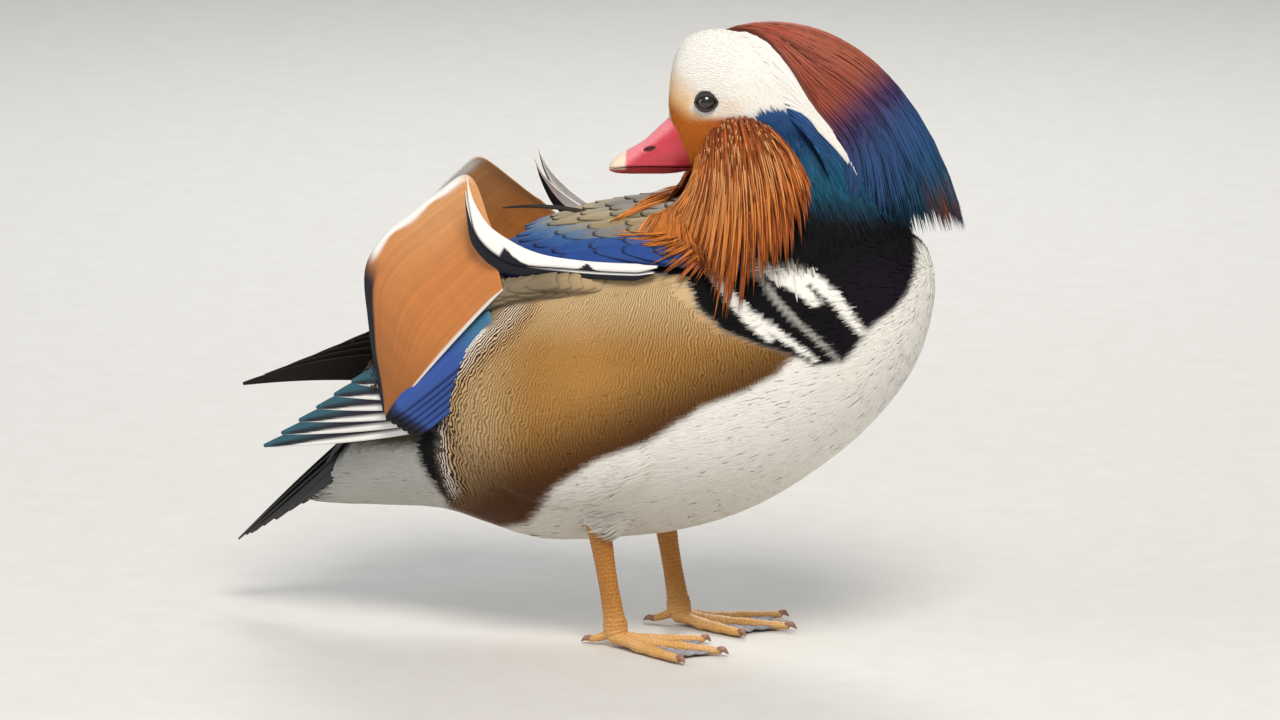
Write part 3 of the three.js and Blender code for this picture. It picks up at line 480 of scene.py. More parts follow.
# White below, golden flank, black and white bars beside the dark breast, blue and olive above.
def bodyColour(across, down):
    def within(mark, soft):
        return insideOf(across, down, bodyMarks[mark], soft)

    # Painted shade: the white belly turns greyer towards its bottom.
    colour = blend(paint["white"], paint["bellyPaintedShade"], ramp(down, 430, 540))
    colour = blend(colour, paint["vent"], ramp(470 - across, -10, 40))
    back = blend(paint["olive"], paint["oliveDark"], ramp(560 - across, 0, 120))
    blue = blend(paint["scapular"], paint["scapularTeal"], ramp(262 - down, 10, 48))
    back = blend(back, blue, within("blue", 5))
    colour = blend(colour, back, within("above", 4))
    colour = blend(colour, paint["oliveDark"], within("rump", 8))
    light = ramp(360 - down, 0, 70) + 0.7 * ramp(540 - across, 0, 70)
    gold = blend(paint["flank"], paint["flankPale"], light)
    # Painted shade: the gold turns dark brown towards the bottom of the flank.
    gold = blend(gold, paint["flankPaintedShade"], ramp(down + (across - 500) * 0.42, 420, 505))
    pale = (1 - ramp(rearDistance(across, down), 2, 15)) * (0.35 + 0.45 * ramp(down, 330, 390))
    gold = blend(gold, paint["white"], pale)
    colour = blend(colour, gold, within("flank", 5))
    colour = blend(colour, paint["black"], within("rearBlack", 2))
    # Painted sheen: lighter purple on the dark breast towards its front and lower part.
    dark = blend(paint["breast"], paint["breastPaintedSheen"], ramp(across, 800, 900) * ramp(down, 236, 300))
    colour = blend(colour, dark, within("darkBreast", 3.5))
    for line, half in bodyMarks["whiteBars"]:
        far, passed = farFrom(across, down, line)
        thin = half * (0.55 + 0.45 * np.sin(pi * np.clip(passed * 0.8 + 0.15, 0, 1)))
        colour = blend(colour, paint["white"], 1 - ramp(far, thin - 1.6, thin + 1.2))
    line, half = bodyMarks["greyBar"]
    far = farFrom(across, down, line)[0]
    return blend(colour, paint["vent"], (1 - ramp(far, half - 1.5, half + 1)) * 0.7)


# Blue under the crest, then teal, then the black of the lower neck.
def neckColour(across, down):
    colour = blend(paint["blue"], paint["teal"], ramp(down, 135, 190))
    # Painted sheen: the black of the lower neck takes some of the breast's purple sheen towards the front.
    low = blend(paint["black"], paint["breastPaintedSheen"], ramp(across, 830, 920) * 0.5)
    return blend(colour, low, ramp(down, 190, 226))


# Colour of the plumage at each point, from the trunk it lies on.
def markings(points):
    across, down, owner = nearPixel(points)
    colour = bodyColour(across, down)
    colour = np.where((owner == 1)[..., None], neckColour(across, down), colour)
    return np.where((owner == 2)[..., None], headColour(across, down), colour)


# Adds one node with its fields, socket values and incoming links.
def addNode(material, kind, values=None, links=None, **fields):
    made = material.node_tree.nodes.new(kind)
    for name, value in fields.items():
        setattr(made, name, value)
    for name, value in (values or {}).items():
        made.inputs[name].default_value = value
    for name, (source, output) in (links or {}).items():
        material.node_tree.links.new(source.outputs[output], made.inputs[name])
    return made


# A material with an empty node tree.
def newMaterial(name):
    material = bpy.data.materials.new(name)
    material.use_nodes = True
    material.node_tree.nodes.clear()
    return material


# Principled surface with the given colour, bump and fixed values.
def finishMaterial(material, colour, bumpHeight, values, bumpMm=0.0):
    links = {"Base Color": colour}
    if bumpHeight:
        bump = addNode(material, "ShaderNodeBump", {"Strength": 0.6, "Distance": bumpMm * mm},
                       {"Height": bumpHeight})
        links["Normal"] = (bump, "Normal")
    shader = addNode(material, "ShaderNodeBsdfPrincipled", values, links)
    addNode(material, "ShaderNodeOutputMaterial", None, {"Surface": (shader, "BSDF")})
    return material


# Feather keratin, matt and soft: barb streaks run along each blade and the down between is darker. Real
# barbs are under a tenth of a millimetre apart, so the streaks are drawn as coarse as they need to show.
def plumage(name, settings):
    material = newMaterial(name)
    tint = addNode(material, "ShaderNodeAttribute", attribute_name="tint")
    place = addNode(material, "ShaderNodeUVMap", uv_map="vane")
    stretched = addNode(material, "ShaderNodeMapping", {"Scale": settings["streaks"]},
                        {"Vector": (place, "UV")})
    streak = addNode(material, "ShaderNodeTexNoise", {"Scale": 1.0, "Detail": 2.0, "Roughness": 0.6},
                     {"Vector": (stretched, "Vector")})
    darker = addNode(material, "ShaderNodeMapRange", {
        "From Min": 0.3, "From Max": 0.7, "To Min": settings["dark"], "To Max": settings["light"]},
        {"Value": (streak, "Fac")})
    colour = addNode(material, "ShaderNodeMix", {"Factor": 1.0}, {6: (tint, "Color"), 7: (darker, "Result")},
                     data_type="RGBA", blend_type="MULTIPLY")
    result = (colour, 2)
    if settings.get("bars"):
        result = addBars(material, result, settings["bars"])
    values = {"Roughness": settings["roughness"], "IOR": 1.5, "Sheen Weight": settings["sheen"],
              "Sheen Roughness": 0.4, "Specular IOR Level": settings["gloss"]}
    return finishMaterial(material, result, (streak, "Fac"), values, settings["bumpMm"])


# Fine wavy dark lines across the flank: a sine of the distance the feathers carry, nudged by noise.
def addBars(material, colour, bars):
    coordinates = addNode(material, "ShaderNodeTexCoord")
    noise = addNode(material, "ShaderNodeTexNoise", {"Scale": 1 / (bars["wobbleSize"] * mm), "Detail": 2.0},
                    {"Vector": (coordinates, "Object")})
    place = addNode(material, "ShaderNodeAttribute", attribute_name="barPlace")
    strength = addNode(material, "ShaderNodeAttribute", attribute_name="barring")
    shift = addNode(material, "ShaderNodeMath", {1: bars["wobble"]}, {0: (noise, "Fac")},
                    operation="MULTIPLY")
    moved = addNode(material, "ShaderNodeMath", None, {0: (place, "Fac"), 1: (shift, "Value")},
                    operation="ADD")
    turn = addNode(material, "ShaderNodeMath", {1: 2 * pi / bars["spacing"]}, {0: (moved, "Value")},
                   operation="MULTIPLY")
    wave = addNode(material, "ShaderNodeMath", None, {0: (turn, "Value")}, operation="SINE")
    level = addNode(material, "ShaderNodeMapRange", {
        "From Min": -0.35, "From Max": 0.65, "To Min": 0.0, "To Max": bars["depth"]}, {"Value": (wave, "Value")})
    amount = addNode(material, "ShaderNodeMath", None, {0: (level, "Result"), 1: (strength, "Fac")},
                     operation="MULTIPLY", use_clamp=True)
    mixed = addNode(material, "ShaderNodeMix", {7: (*bars["colour"], 1)},
                    {"Factor": (amount, "Value"), 6: colour}, data_type="RGBA")
    return mixed, 2


# Contour feathers: loose soft barbs that scatter almost all of the light, so the body looks like felt.
downSettings = {"streaks": (5, 1.2, 1), "dark": 0.86, "light": 1.06, "roughness": 0.85, "sheen": 0.04,
                "gloss": 0.15, "bumpMm": 0.12}
downMaterial = plumage("contourFeatherDown", downSettings)
# Flank feathers: as matt, but with dark wavy lines 1.5 mm apart, which from afar dull the gold to tan.
flankMaterial = plumage("vermiculatedFlankFeather", {
    **downSettings, "dark": 0.95, "light": 1.03,
    "bars": {"spacing": 1.5, "wobble": 5.2, "wobbleSize": 5.5, "depth": 0.74,
             "colour": tuple(paint["barring"])},
})
# Crest feathers: long sleek barbs that shine along their length, with dark lines between strands.
silkMaterial = plumage("silkyCrestFeather", {
    "streaks": (4, 0.7, 1), "dark": 0.62, "light": 1.2, "roughness": 0.5, "sheen": 0.03, "gloss": 0.32,
    "bumpMm": 0.12})
# Neck feathers: dense and dark, with only a dull gleam.
neckMaterial = plumage("darkNeckFeather", {
    "streaks": (4, 0.9, 1), "dark": 0.8, "light": 1.1, "roughness": 0.62, "sheen": 0.0, "gloss": 0.12,
    "bumpMm": 0.12})
# Cheek hackles: dry narrow blades; their tint paints a highlight on the ridges and shade in deep orange between them.
hackleMaterial = plumage("cheekHackleFeather", {
    "streaks": (3, 0.9, 1), "dark": 0.8, "light": 1.15, "roughness": 0.72, "sheen": 0.03, "gloss": 0.14,
    "bumpMm": 0.12})
# Wing, sail and tail vanes: barbs hooked into a smooth sheet, which takes a broad satin highlight.
vaneMaterial = plumage("stiffVaneFeather", {
    "streaks": (26, 1.2, 1), "dark": 0.86, "light": 1.06, "roughness": 0.55, "sheen": 0.04, "gloss": 0.28,
    "bumpMm": 0.1})


# Horn, scaled skin and the eye take a tint of their own and one relief, either cells or streaks, whose
# size is in cells or streaks to a millimetre.
def bareMaterial(name, settings):
    material = newMaterial(name)
    tint = addNode(material, "ShaderNodeAttribute", attribute_name="tint")
    place = addNode(material, "ShaderNodeTexCoord")
    scale = addNode(material, "ShaderNodeMapping", {"Scale": [v / mm for v in settings["perMm"]]},
                    {"Vector": (place, "Object")})
    if settings["cells"]:
        relief = addNode(material, "ShaderNodeTexVoronoi", {"Scale": 1.0, "Randomness": 0.7},
                         {"Vector": (scale, "Vector")}, feature="DISTANCE_TO_EDGE")
        groove = addNode(material, "ShaderNodeMapRange", {"From Min": 0.0, "From Max": 0.22},
                         {"Value": (relief, "Distance")})
        height = (groove, "Result")
    else:
        relief = addNode(material, "ShaderNodeTexNoise", {"Scale": 1.0, "Detail": 4.0, "Roughness": 0.6},
                         {"Vector": (scale, "Vector")})
        height = (relief, "Fac")
    tone = addNode(material, "ShaderNodeMapRange", {"To Min": settings["dark"], "To Max": settings["light"]},
                   {"Value": height})
    colour = addNode(material, "ShaderNodeMix", {"Factor": 1.0}, {6: (tint, "Color"), 7: (tone, "Result")},
                     data_type="RGBA", blend_type="MULTIPLY")
    values = {"Roughness": settings["roughness"], "IOR": 1.5, "Coat Weight": settings["coat"],
              "Coat Roughness": settings["coatRoughness"], "Subsurface Weight": settings["soft"],
              "Subsurface Scale": 0.8 * mm, "Subsurface Radius": (1.0, 0.4, 0.25)}
    return finishMaterial(material, (colour, 2), height, values, settings["bumpMm"])


# Bill: waxy living horn, so light sinks in a little and the ridge catches a soft highlight, which its tint also
# paints in paler pink.
billMaterial = bareMaterial("waxyBillHorn", {
    "perMm": (0.5, 0.5, 1.6), "cells": False, "dark": 0.82, "light": 1.14, "roughness": 0.38, "coat": 0.25,
    "coatRoughness": 0.3, "soft": 0.15, "bumpMm": 0.18})
# Legs: small raised scales with dark gaps, and a dull wet look on each.
scaleMaterial = bareMaterial("scutellateLegSkin", {
    "perMm": (0.62, 0.62, 0.72), "cells": True, "dark": 0.8, "light": 1.05, "roughness": 0.48, "coat": 0.12,
    "coatRoughness": 0.35, "soft": 0.04, "bumpMm": 0.3})
# Webs: thin pebbled leather, nearly matt.
webMaterial = bareMaterial("pebbledWebSkin", {
    "perMm": (0.95, 0.95, 0.95), "cells": True, "dark": 0.78, "light": 1.06, "roughness": 0.6, "coat": 0.05,
    "coatRoughness": 0.5, "soft": 0.1, "bumpMm": 0.2})
# Claws: dense dry horn with growth streaks.
clawMaterial = bareMaterial("clawHorn", {
    "perMm": (1.5, 1.5, 3.0), "cells": False, "dark": 0.75, "light": 1.1, "roughness": 0.42, "coat": 0.2,
    "coatRoughness": 0.25, "soft": 0.05, "bumpMm": 0.08})
# Eye: a wet dark iris under a clear coat, which holds one sharp highlight.
eyeMaterial = bareMaterial("wetDarkEye", {
    "perMm": (1.2, 1.2, 1.2), "cells": False, "dark": 0.7, "light": 1.25, "roughness": 0.25, "coat": 1.0,
    "coatRoughness": 0.02, "soft": 0.0, "bumpMm": 0.01})
# Lids: soft bare skin, creased.
lidMaterial = bareMaterial("creasedLidSkin", {
    "perMm": (1.8, 1.8, 1.8), "cells": True, "dark": 0.7, "light": 1.1, "roughness": 0.55, "coat": 0.1,
    "coatRoughness": 0.3, "soft": 0.1, "bumpMm": 0.12})


# Bars of the flank: their strength, and the distance in millimetres that their waves are counted on.
# The lines are parabolas: bent forwards above and below at the rear, and slightly back at the front.
def barStrength(points):
    across, down, owner = nearPixel(points)
    edge = 1.2 * (1 - ramp(rearDistance(across, down), 6, 30))
    faint = 0.6 * np.exp(-((across - 580) / 60) ** 2 - ((down - 375) / 55) ** 2)
    return insideOf(across, down, bodyMarks["flank"], 5) * (0.8 - faint + edge)


def barPhase(points):
    across, down, owner = nearPixel(points)
    bend = np.interp(across, [440, 510, 760], [0.0048, 0.0045, -0.0012])
    return photo["mmPerPixel"] * (across - bend * (down - 440) ** 2)


barExtras = {"barring": barStrength, "barPlace": barPhase}


# The skin: torso, neck, head, flanks, wing arms and tail base fused and smoothed into one surface
# Points and faces of rings closed at both ends by a fan.
def closedTube(grid):
    rows, columns = grid.shape[:2]
    points = np.concatenate([grid.reshape(-1, 3), [grid[0].mean(0)], [grid[-1].mean(0)]])
    j = np.arange(columns)
    nextJ = (j + 1) % columns
    start = np.stack([np.full(columns, rows * columns), nextJ, j], -1)
    last = (rows - 1) * columns
    end = np.stack([np.full(columns, rows * columns + 1), last + j, last + nextJ], -1)
    return points, gridFaces(rows, columns, wrap=True), np.concatenate([start, end])


def trunkGrid(trunk, rows, columns, grow):
    ends = trunk["rows"][[0, -1], 0]
    at = ends[0] + (ends[1] - ends[0]) * (1 - np.cos(pi * (np.arange(rows) + 1) / (rows + 1))) / 2
    turn = np.arange(columns) * 2 * pi / columns
    return trunkPoint(trunk, at[:, None], turn[None], grow)


# Ellipsoid turned about Y and then Z.
def eggGrid(centre, size, turnY, turnZ, rows=16, columns=24):
    fall = pi * (np.arange(rows) + 1)[:, None] / (rows + 1)
    turn = (np.arange(columns) * 2 * pi / columns)[None]
    p = np.stack([size[0] * np.sin(fall) * np.cos(turn), size[1] * np.sin(fall) * np.sin(turn),
                  size[2] * np.cos(fall) * np.ones_like(turn)], -1)
    a, b = radians(turnY), radians(turnZ)
    p = p @ np.array([[cos(a), 0, -sin(a)], [0, 1, 0], [sin(a), 0, cos(a)]])
    return p @ np.array([[cos(b), sin(b), 0], [-sin(b), cos(b), 0], [0, 0, 1]]) + centre


skinSettings = {"depth": -2.0, "headDepth": -1.3, "voxel": 2.2, "smoothing": 14}


# Torso, neck, head, flanks, wing arms and tail base fused by voxels into one closed surface.
def fusedSkin():
    grow = skinSettings["depth"]
    grids = [
        trunkGrid(torso, 40, 48, grow), trunkGrid(neck, 20, 40, grow),
        trunkGrid(head, 30, 40, skinSettings["headDepth"]),
    ]
    for side in (1, -1):
        grids.append(eggGrid((-20, side * 40, 116), (60 + grow, 20 + grow, 54 + grow), 8, 0))
        grids.append(eggGrid((-68, side * 41, 132), (46 + grow, 9 + grow, 29 + grow), -35, side * 7))
        grids.append(eggGrid((side * 5.5 + 2, side * 25.7, 61), (11, 9.5, 11.5), 0, 0))
    grids.append(eggGrid((-116, 0, 100), (15 + grow, 12 + grow, 7 + grow), 44, 0))
    points, quads, tris, base = [], [], [], 0
    for grid in grids:
        p, q, t = closedTube(grid)
        points.append(p)
        quads.append(q + base)
        tris.append(t + base)
        base += len(p)
    faces = [np.concatenate(quads), np.concatenate(tris)]
    rough = buildMesh("skin", np.concatenate(points), faces, downMaterial)
    remesh = rough.modifiers.new("fuse", "REMESH")
    remesh.mode = "VOXEL"
    remesh.voxel_size = skinSettings["voxel"] * mm
    graph = bpy.context.evaluated_depsgraph_get()
    fused = bpy.data.meshes.new_from_object(rough.evaluated_get(graph))
    co = np.zeros(len(fused.vertices) * 3, np.float32)
    fused.vertices.foreach_get("co", co)
    corners = np.zeros(len(fused.loops), np.int32)
    fused.loops.foreach_get("vertex_index", corners)
    quads = corners.reshape(-1, 4)
    bpy.data.objects.remove(rough)
    bpy.data.meshes.remove(fused)
    return co.reshape(-1, 3).astype(float) / mm - birdShift, quads


# Moves each point towards the mean of its neighbours and part of the way back, which keeps the volume.
def smoothed(points, quads, rounds):
    a = quads.reshape(-1)
    b = np.roll(quads, -1, axis=1).reshape(-1)
    pairs = np.concatenate([np.stack([a, b], 1), np.stack([b, a], 1)])
    count = np.bincount(pairs[:, 0], minlength=len(points))[:, None]
    for step in np.tile([0.5, -0.52], rounds):
        total = np.stack([np.bincount(pairs[:, 0], points[pairs[:, 1], k], len(points)) for k in range(3)], -1)
        points = points + step * (total / count - points)
    return points


# Area-weighted normals at the points of a quad mesh.
def pointNormals(points, quads):
    face = np.cross(points[quads[:, 2]] - points[quads[:, 0]], points[quads[:, 3]] - points[quads[:, 1]])
    total = np.zeros_like(points)
    for k in range(4):
        for axis in range(3):
            total[:, axis] += np.bincount(quads[:, k], face[:, axis], len(points))
    return unit(total)


skinPoints, skinQuads = fusedSkin()
skinPoints = smoothed(skinPoints, skinQuads, skinSettings["smoothing"])
skinNormals = pointNormals(skinPoints, skinQuads)
skinMap = np.stack([skinPoints[:, 0] / 3, skinPoints[:, 2] / 3], -1)
skin = buildMesh("skin", skinPoints, [skinQuads], flankMaterial, markings(skinPoints), {"vane": skinMap},
                 extras={title: value(skinPoints) for title, value in barExtras.items()})
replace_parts(skin, "torso", "neck", "head")
print("skin", len(skinQuads))


# Blades: closed, with a ridge, set on the skin or swept along a path
# Each ring has a left edge, a raised ridge and a right edge, and the last centre is the tip.
def bladeMesh(name, centres, sides, ridges, widths, thicks, shade, places, material, extras=None, smooth=True):
    count, rings = centres.shape[0], centres.shape[1] - 1
    half = sides[:, :-1] * widths[:, :-1, None] / 2
    top = centres[:, :-1] + ridges[:, :-1] * thicks[:, :-1, None]
    body = np.stack([centres[:, :-1] - half, top, centres[:, :-1] + half], axis=2).reshape(count, -1, 3)
    points = np.concatenate([body, centres[:, -1:]], axis=1)
    each = 3 * rings + 1
    ring = 3 * np.arange(rings - 1)[:, None]
    quads = np.concatenate([ring + q for q in ([1, 2, 5, 4], [0, 1, 4, 3], [2, 0, 3, 5])])
    low = 3 * (rings - 1)
    tris = np.array([[0, 2, 1], [low + 1, low + 2, low + 3], [low, low + 1, low + 3], [low + 2, low, low + 3]])
    base = (np.arange(count) * each)[:, None, None]
    s = np.concatenate([np.tile([0, 0.5, 1], rings), [0.5]])
    t = np.concatenate([np.repeat(np.arange(rings) / rings, 3), [1]])
    tint = shade(points) if callable(shade) else shade
    patch = 0.003 * np.stack([s - 0.5, t - 0.5], -1)
    shift = (np.arange(count) % 97)[:, None, None] * np.array([1.7, 3.1])
    maps = {"vane": np.stack([s, t], -1)[None] + shift, "OFBake": places[:, None] + patch}
    extras = {title: value(points).ravel() for title, value in (extras or {}).items()}
    faces = [(quads[None] + base).reshape(-1, 4), (tris[None] + base).reshape(-1, 3)]
    return buildMesh(name, points, faces, material, tint, maps, smooth, extras)


# Evenly spread places on the skin where wanted is true, with their normals: random places thinned to
# one in each cell of a grid in space.
def scatter(spacing, wanted, crowd=3.0):
    a, b, c, d = (skinPoints[skinQuads[:, k]] for k in range(4))
    pool = np.flatnonzero(wanted((a + b + c + d) / 4))
    area = np.linalg.norm(np.cross(c - a, d - b), axis=1)[pool].sum() / 2
    pick = pool[rng.integers(0, len(pool), int(area / spacing ** 2 * crowd))]
    u, v = rng.random((2, len(pick), 1))
    corners = [(1 - u) * (1 - v), u * (1 - v), u * v, (1 - u) * v]
    points, normals = (
        sum(share * values[skinQuads[pick, k]] for k, share in enumerate(corners))
        for values in (skinPoints, skinNormals)
    )
    cell = np.floor(points / spacing).astype(int) + 500
    first = np.unique(cell @ np.array([10 ** 6, 10 ** 3, 1]), return_index=True)[1]
    return points[first], unit(normals[first])


# Direction of the coat: towards the tail on the torso, down the neck, back from the bill on the head
# and more downwards behind the eye.
def lieOf(points, normals):
    owner = owners(points)[0]
    behind = ramp(-headLocal(points)[0], -12, 10)[:, None]
    onFace = -headForward * (1 - 0.45 * behind) + up * (-0.3 - 0.75 * behind)
    back = np.where((owner == 2)[:, None], onFace, np.array([-1.0, 0, -0.22]))
    back = np.where((owner == 1)[:, None], neckForward * 0.25 + up * -1.0, back)
    return unit(back - (back * normals).sum(-1, keepdims=True) * normals)


# Small feathers on the skin, each lifted a little and bent back towards it. Each takes most of its
# colour from the markings at its own middle, so that an edge between colours is broken by feathers.
def coat(name, look, wanted, material, extras=None):
    roots, normals = scatter(look["spacing"], wanted)
    count = len(roots)
    along = unit(lieOf(roots, normals) + rng.normal(0, look["stray"], (count, 3)))
    along = unit(along - (along * normals).sum(-1, keepdims=True) * normals)
    size = rng.uniform(0.75, 1.25, (count, 1)) * coatGrowth(roots)[:, None]
    length, width = look["length"] * size, look["width"] * (0.5 + 0.5 * size)
    t = np.array([look["rings"]])
    rise = look["base"] + length * (look["lift"] * t - look["droop"] * t ** 2)
    centres = roots[:, None] + along[:, None] * (length * t)[..., None] + normals[:, None] * rise[..., None]
    sides = np.broadcast_to(np.cross(along, normals)[:, None], centres.shape)
    ridges = np.broadcast_to(normals[:, None], centres.shape)
    widths = width * np.interp(t, [0, 0.3, 0.62, 0.88, 1], [0.6, 0.95, 1, 0.62, 0])
    thicks = look["thick"] * (1 - 0.6 * t) * np.ones((count, 1))
    vary = rng.normal(1, look["vary"], (count, 1, 1))
    # Painted shade and light: each feather is darker at its root, as shade from those above it, and a little lighter
    # at its tip.
    rootShadeTipLight = np.concatenate([np.repeat(np.interp(t[0, :-1], [0, 1], look["rootShadeTipLight"]), 3), [look["rootShadeTipLight"][1]]])
    middle = roots[:, None] + along[:, None] * (length * 0.5)[..., None]
    own = markings(middle)

    def shade(points):
        return (own * look["whole"] + markings(points) * (1 - look["whole"])) * vary * rootShadeTipLight[None, :, None]

    made = bladeMesh(name, centres, sides, ridges, widths, thicks, shade, unwrapped(roots), material, extras, False)
    print(name, count)
    return made


# Feathers are smallest round the bill and the eyes, and grow from the face to the nape.
def coatGrowth(points):
    owner = owners(points)[0]
    forward, side, height = headLocal(points)
    side = np.abs(side)
    away = np.hypot(forward - pose["eyeForward"], height - pose["eyeHeight"]) + 30 * (side < 8)
    small = 0.45 + 0.55 * ramp(33 - forward, 0, 45)
    small = small * (0.55 + 0.45 * ramp(away, 5, 12))
    behind = 1 + 1.6 * ramp(-forward, -6, 10) * ramp(250 - height, 0, 14)
    return np.where(owner == 2, small * behind, 1.0)


# Inside the bare oval round either eye.
def nearEye(points):
    forward, side, height = headLocal(points)
    side = np.abs(side)
    oval = np.hypot((forward - pose["eyeForward"]) / 5.2, (height - pose["eyeHeight"]) / 4.1)
    return (oval < 1) & (side > 8)


# Test of whether points lie in an outline of the photograph, on either side of one trunk.
def sideRegion(outline, owner=0):
    def test(points):
        whose = owners(points)[0]
        across, down = photoPixel(nearSide(points, whose))
        return (insideOf(across, down, outline, 1) > 0.5) & (whose == owner)
    return test


onFlank = sideRegion(bodyMarks["flank"])
onBack = sideRegion(bodyMarks["backTufts"])


# The torso below its flank and back.
def onWhite(points):
    return (owners(points)[0] == 0) & ~onFlank(points) & ~onBack(points)


coatRings = {"long": (0, 0.25, 0.52, 0.8, 1), "middle": (0, 0.4, 0.78, 1), "short": (0, 0.55, 1)}
coats = [
    ("coatFlank", {"spacing": 1.6, "length": 7, "width": 2.2, "thick": 0.14, "base": 0.22, "lift": 0.03,
                   "droop": 0.045, "stray": 0.05, "vary": 0.012, "rootShadeTipLight": (0.97, 1.02), "whole": 0.3,
                   "rings": coatRings["middle"]},
     lambda p: onFlank(p) & ~onBack(p), flankMaterial, "body_plumage", barExtras),
    ("coatBack", {"spacing": 2.6, "length": 10, "width": 3.2, "thick": 0.25, "base": 0.3, "lift": 0.06,
                  "droop": 0.08, "stray": 0.1, "vary": 0.1, "rootShadeTipLight": (0.7, 1.1), "whole": 0.8,
                  "rings": coatRings["middle"]},
     onBack, downMaterial, "body_plumage", None),
    ("coatBreast", {"spacing": 1.35, "length": 5.5, "width": 1.3, "thick": 0.14, "base": 0.25, "lift": 0.05,
                    "droop": 0.055, "stray": 0.07, "vary": 0.03, "rootShadeTipLight": (0.97, 1.02), "whole": 0.45,
                    "rings": coatRings["middle"]},
     lambda p: onWhite(p) & (p[:, 0] > 45) & (trunkReach(neck, p)[0] > 1.1),
     downMaterial, "body_plumage", None),
    ("coatBelly", {"spacing": 1.7, "length": 8, "width": 1.9, "thick": 0.14, "base": 0.25, "lift": 0.045,
                   "droop": 0.05, "stray": 0.07, "vary": 0.015, "rootShadeTipLight": (0.98, 1.01), "whole": 0.4,
                   "rings": coatRings["middle"]},
     lambda p: onWhite(p) & (p[:, 0] <= 45) & (p[:, 0] > -149), downMaterial, "body_plumage", None),
    ("coatNeck", {"spacing": 1.6, "length": 13, "width": 1.15, "thick": 0.25, "base": 0.4, "lift": 0.1,
                  "droop": 0.1, "stray": 0.1, "vary": 0.2, "rootShadeTipLight": (0.7, 1.15), "whole": 0.7,
                  "rings": coatRings["long"]},
     lambda p: owners(p)[0] == 1, neckMaterial, "neck_plumage", None),
    ("coatFace", {"spacing": 0.72, "length": 3.2, "width": 0.66, "thick": 0.07, "base": 0.12, "lift": 0.055,
                  "droop": 0.05, "stray": 0.06, "vary": 0.02, "rootShadeTipLight": (0.95, 1.02), "whole": 0.6,
                  "rings": coatRings["short"]},
     lambda p: (owners(p)[0] == 2) & ~nearEye(p), downMaterial, "face_plumage", None),
]
for name, look, wanted, material, slot, extras in coats:
    coat(name, look, wanted, material, extras)


# Strands of the crest and ruff: long thin blades on the curves of the solid's locks
def strands(name, paths, sideways, width, thick, shape, shade, places, material, smooth=True):
    along = unit(np.gradient(paths, axis=1))
    sideways = unit(sideways - (sideways * along).sum(-1, keepdims=True) * along)
    ridges = np.cross(sideways, along)
    full = np.ones((len(paths), 1))
    widths, thicks = width * shape[None] * full, thick * np.ones_like(shape)[None] * full
    made = bladeMesh(name, paths, sideways, ridges, widths, thicks, shade, places, material, None, smooth)
    print(name, len(paths))
    return made


crestLook = {
    "curves": [[(-13, 241), (-38, 229), (-40, 188)], [(11, 273.5), (-62, 290), (-95, 191)]],
    "layers": [(0.0, 0.45, 1.2, 420), (0.04, 0.7, 0.9, 520), (0.12, 0.9, 0.4, 560), (0.2, 0.99, 0.0, 620),
               (0.32, 1.02, -0.6, 720), (0.45, 1.02, -1.3, 720), (0.5, 1.0, -2.2, 640)],
    "width": 1.15, "thick": 0.4,
}


# Sweep of the crest: the height across the head picks the curve between the side's and the crown's,
# and the angle sets the distance to the side.
def crestPoint(angle, t, lift):
    angle, t, lift = np.broadcast_arrays(*(np.asarray(v, float) for v in (angle, t, lift)))
    height = (np.cos(angle * pi / 2).clip(0, 1) ** 0.8)[..., None]
    low, high = np.array(crestLook["curves"], float)
    start, pull, end = (low[k] + (high[k] - low[k]) * height for k in range(3))
    share = t[..., None]
    flat = arc(start, pull, end, share)
    height = height[..., 0]
    wide = 15 + 6 * np.sin(pi * np.minimum(0.75 * t, 1)) + 3 * t * (1 - height)
    point = onHead(flat[..., 0], np.sin(angle * pi / 2) * (wide + lift), flat[..., 1])
    point = point - (lift * height * t)[..., None] * headForward
    return point + (lift * height * (1 - t))[..., None] * up


# Direction across a strand, between points at a little more and less of its angle.
def crestSideways(angle, t):
    middle = angle.clip(-0.96, 0.96)
    return crestPoint(middle + 0.04, t, 0.0) - crestPoint(middle - 0.04, t, 0.0)


# Angle of the white's upper border along the crest: it leaves the crown's middle and nears the side.
def whiteBorder(t):
    return 0.87 * (1 - np.exp(-(np.maximum(t, 0) / 0.175) ** 1.9))


# Strands that fan from the crown's middle: each keeps its share of the border's angle, so that they run
# beside the white as it sweeps back, and the lowest ones come from under it.
def crestStrands(side):
    share, begin, end, lift = [], [], [], []
    for low, high, raised, count in crestLook["layers"]:
        half = count // 2
        share.append(np.linspace(0, 1, half) + rng.normal(0, 0.012, half))
        begin.append(low + rng.uniform(-0.04, 0.1, half))
        end.append(high + rng.uniform(-0.09, 0.01, half))
        lift.append(raised + rng.uniform(-0.45, 0.6, half))
    share, begin, end, lift = (np.concatenate(v)[:, None] for v in (share, begin, end, lift))
    begin = begin.clip(0, 1)
    step = np.linspace(0, 1, 9)[None]
    t = begin + (end - begin) * step
    drift = rng.normal(0, 0.015, share.shape) * t
    spread = whiteBorder(t) * share.clip(-0.02, 1) * (1 + 0.16 * ramp(t, 0.55, 1.0))
    angle = side * (spread + drift).clip(-0.05, 1)
    raised = lift - 2.5 * (1 - step) ** 5 - 0.8 * step ** 4
    paths = crestPoint(angle, t, raised)
    sideways = crestSideways(angle, t)
    shape = np.array([0.5, 0.85, 1, 1, 1, 0.95, 0.8, 0.5, 0])
    vary = rng.lognormal(0, 0.2, (len(share), 1, 1))
    place = 0.81 + 0.08 * (side + 1) + 0.07 * share[:, 0].clip(0, 1)
    places = np.stack([place, 0.02 + 0.9 * begin[:, 0]], -1)

    def shade(points):
        return crestColour(*headPixel(points)) * vary

    name = "crestFeathers" + sides[side]
    return strands(name, paths, sideways, crestLook["width"], crestLook["thick"], shape, shade, places,
                   silkMaterial)


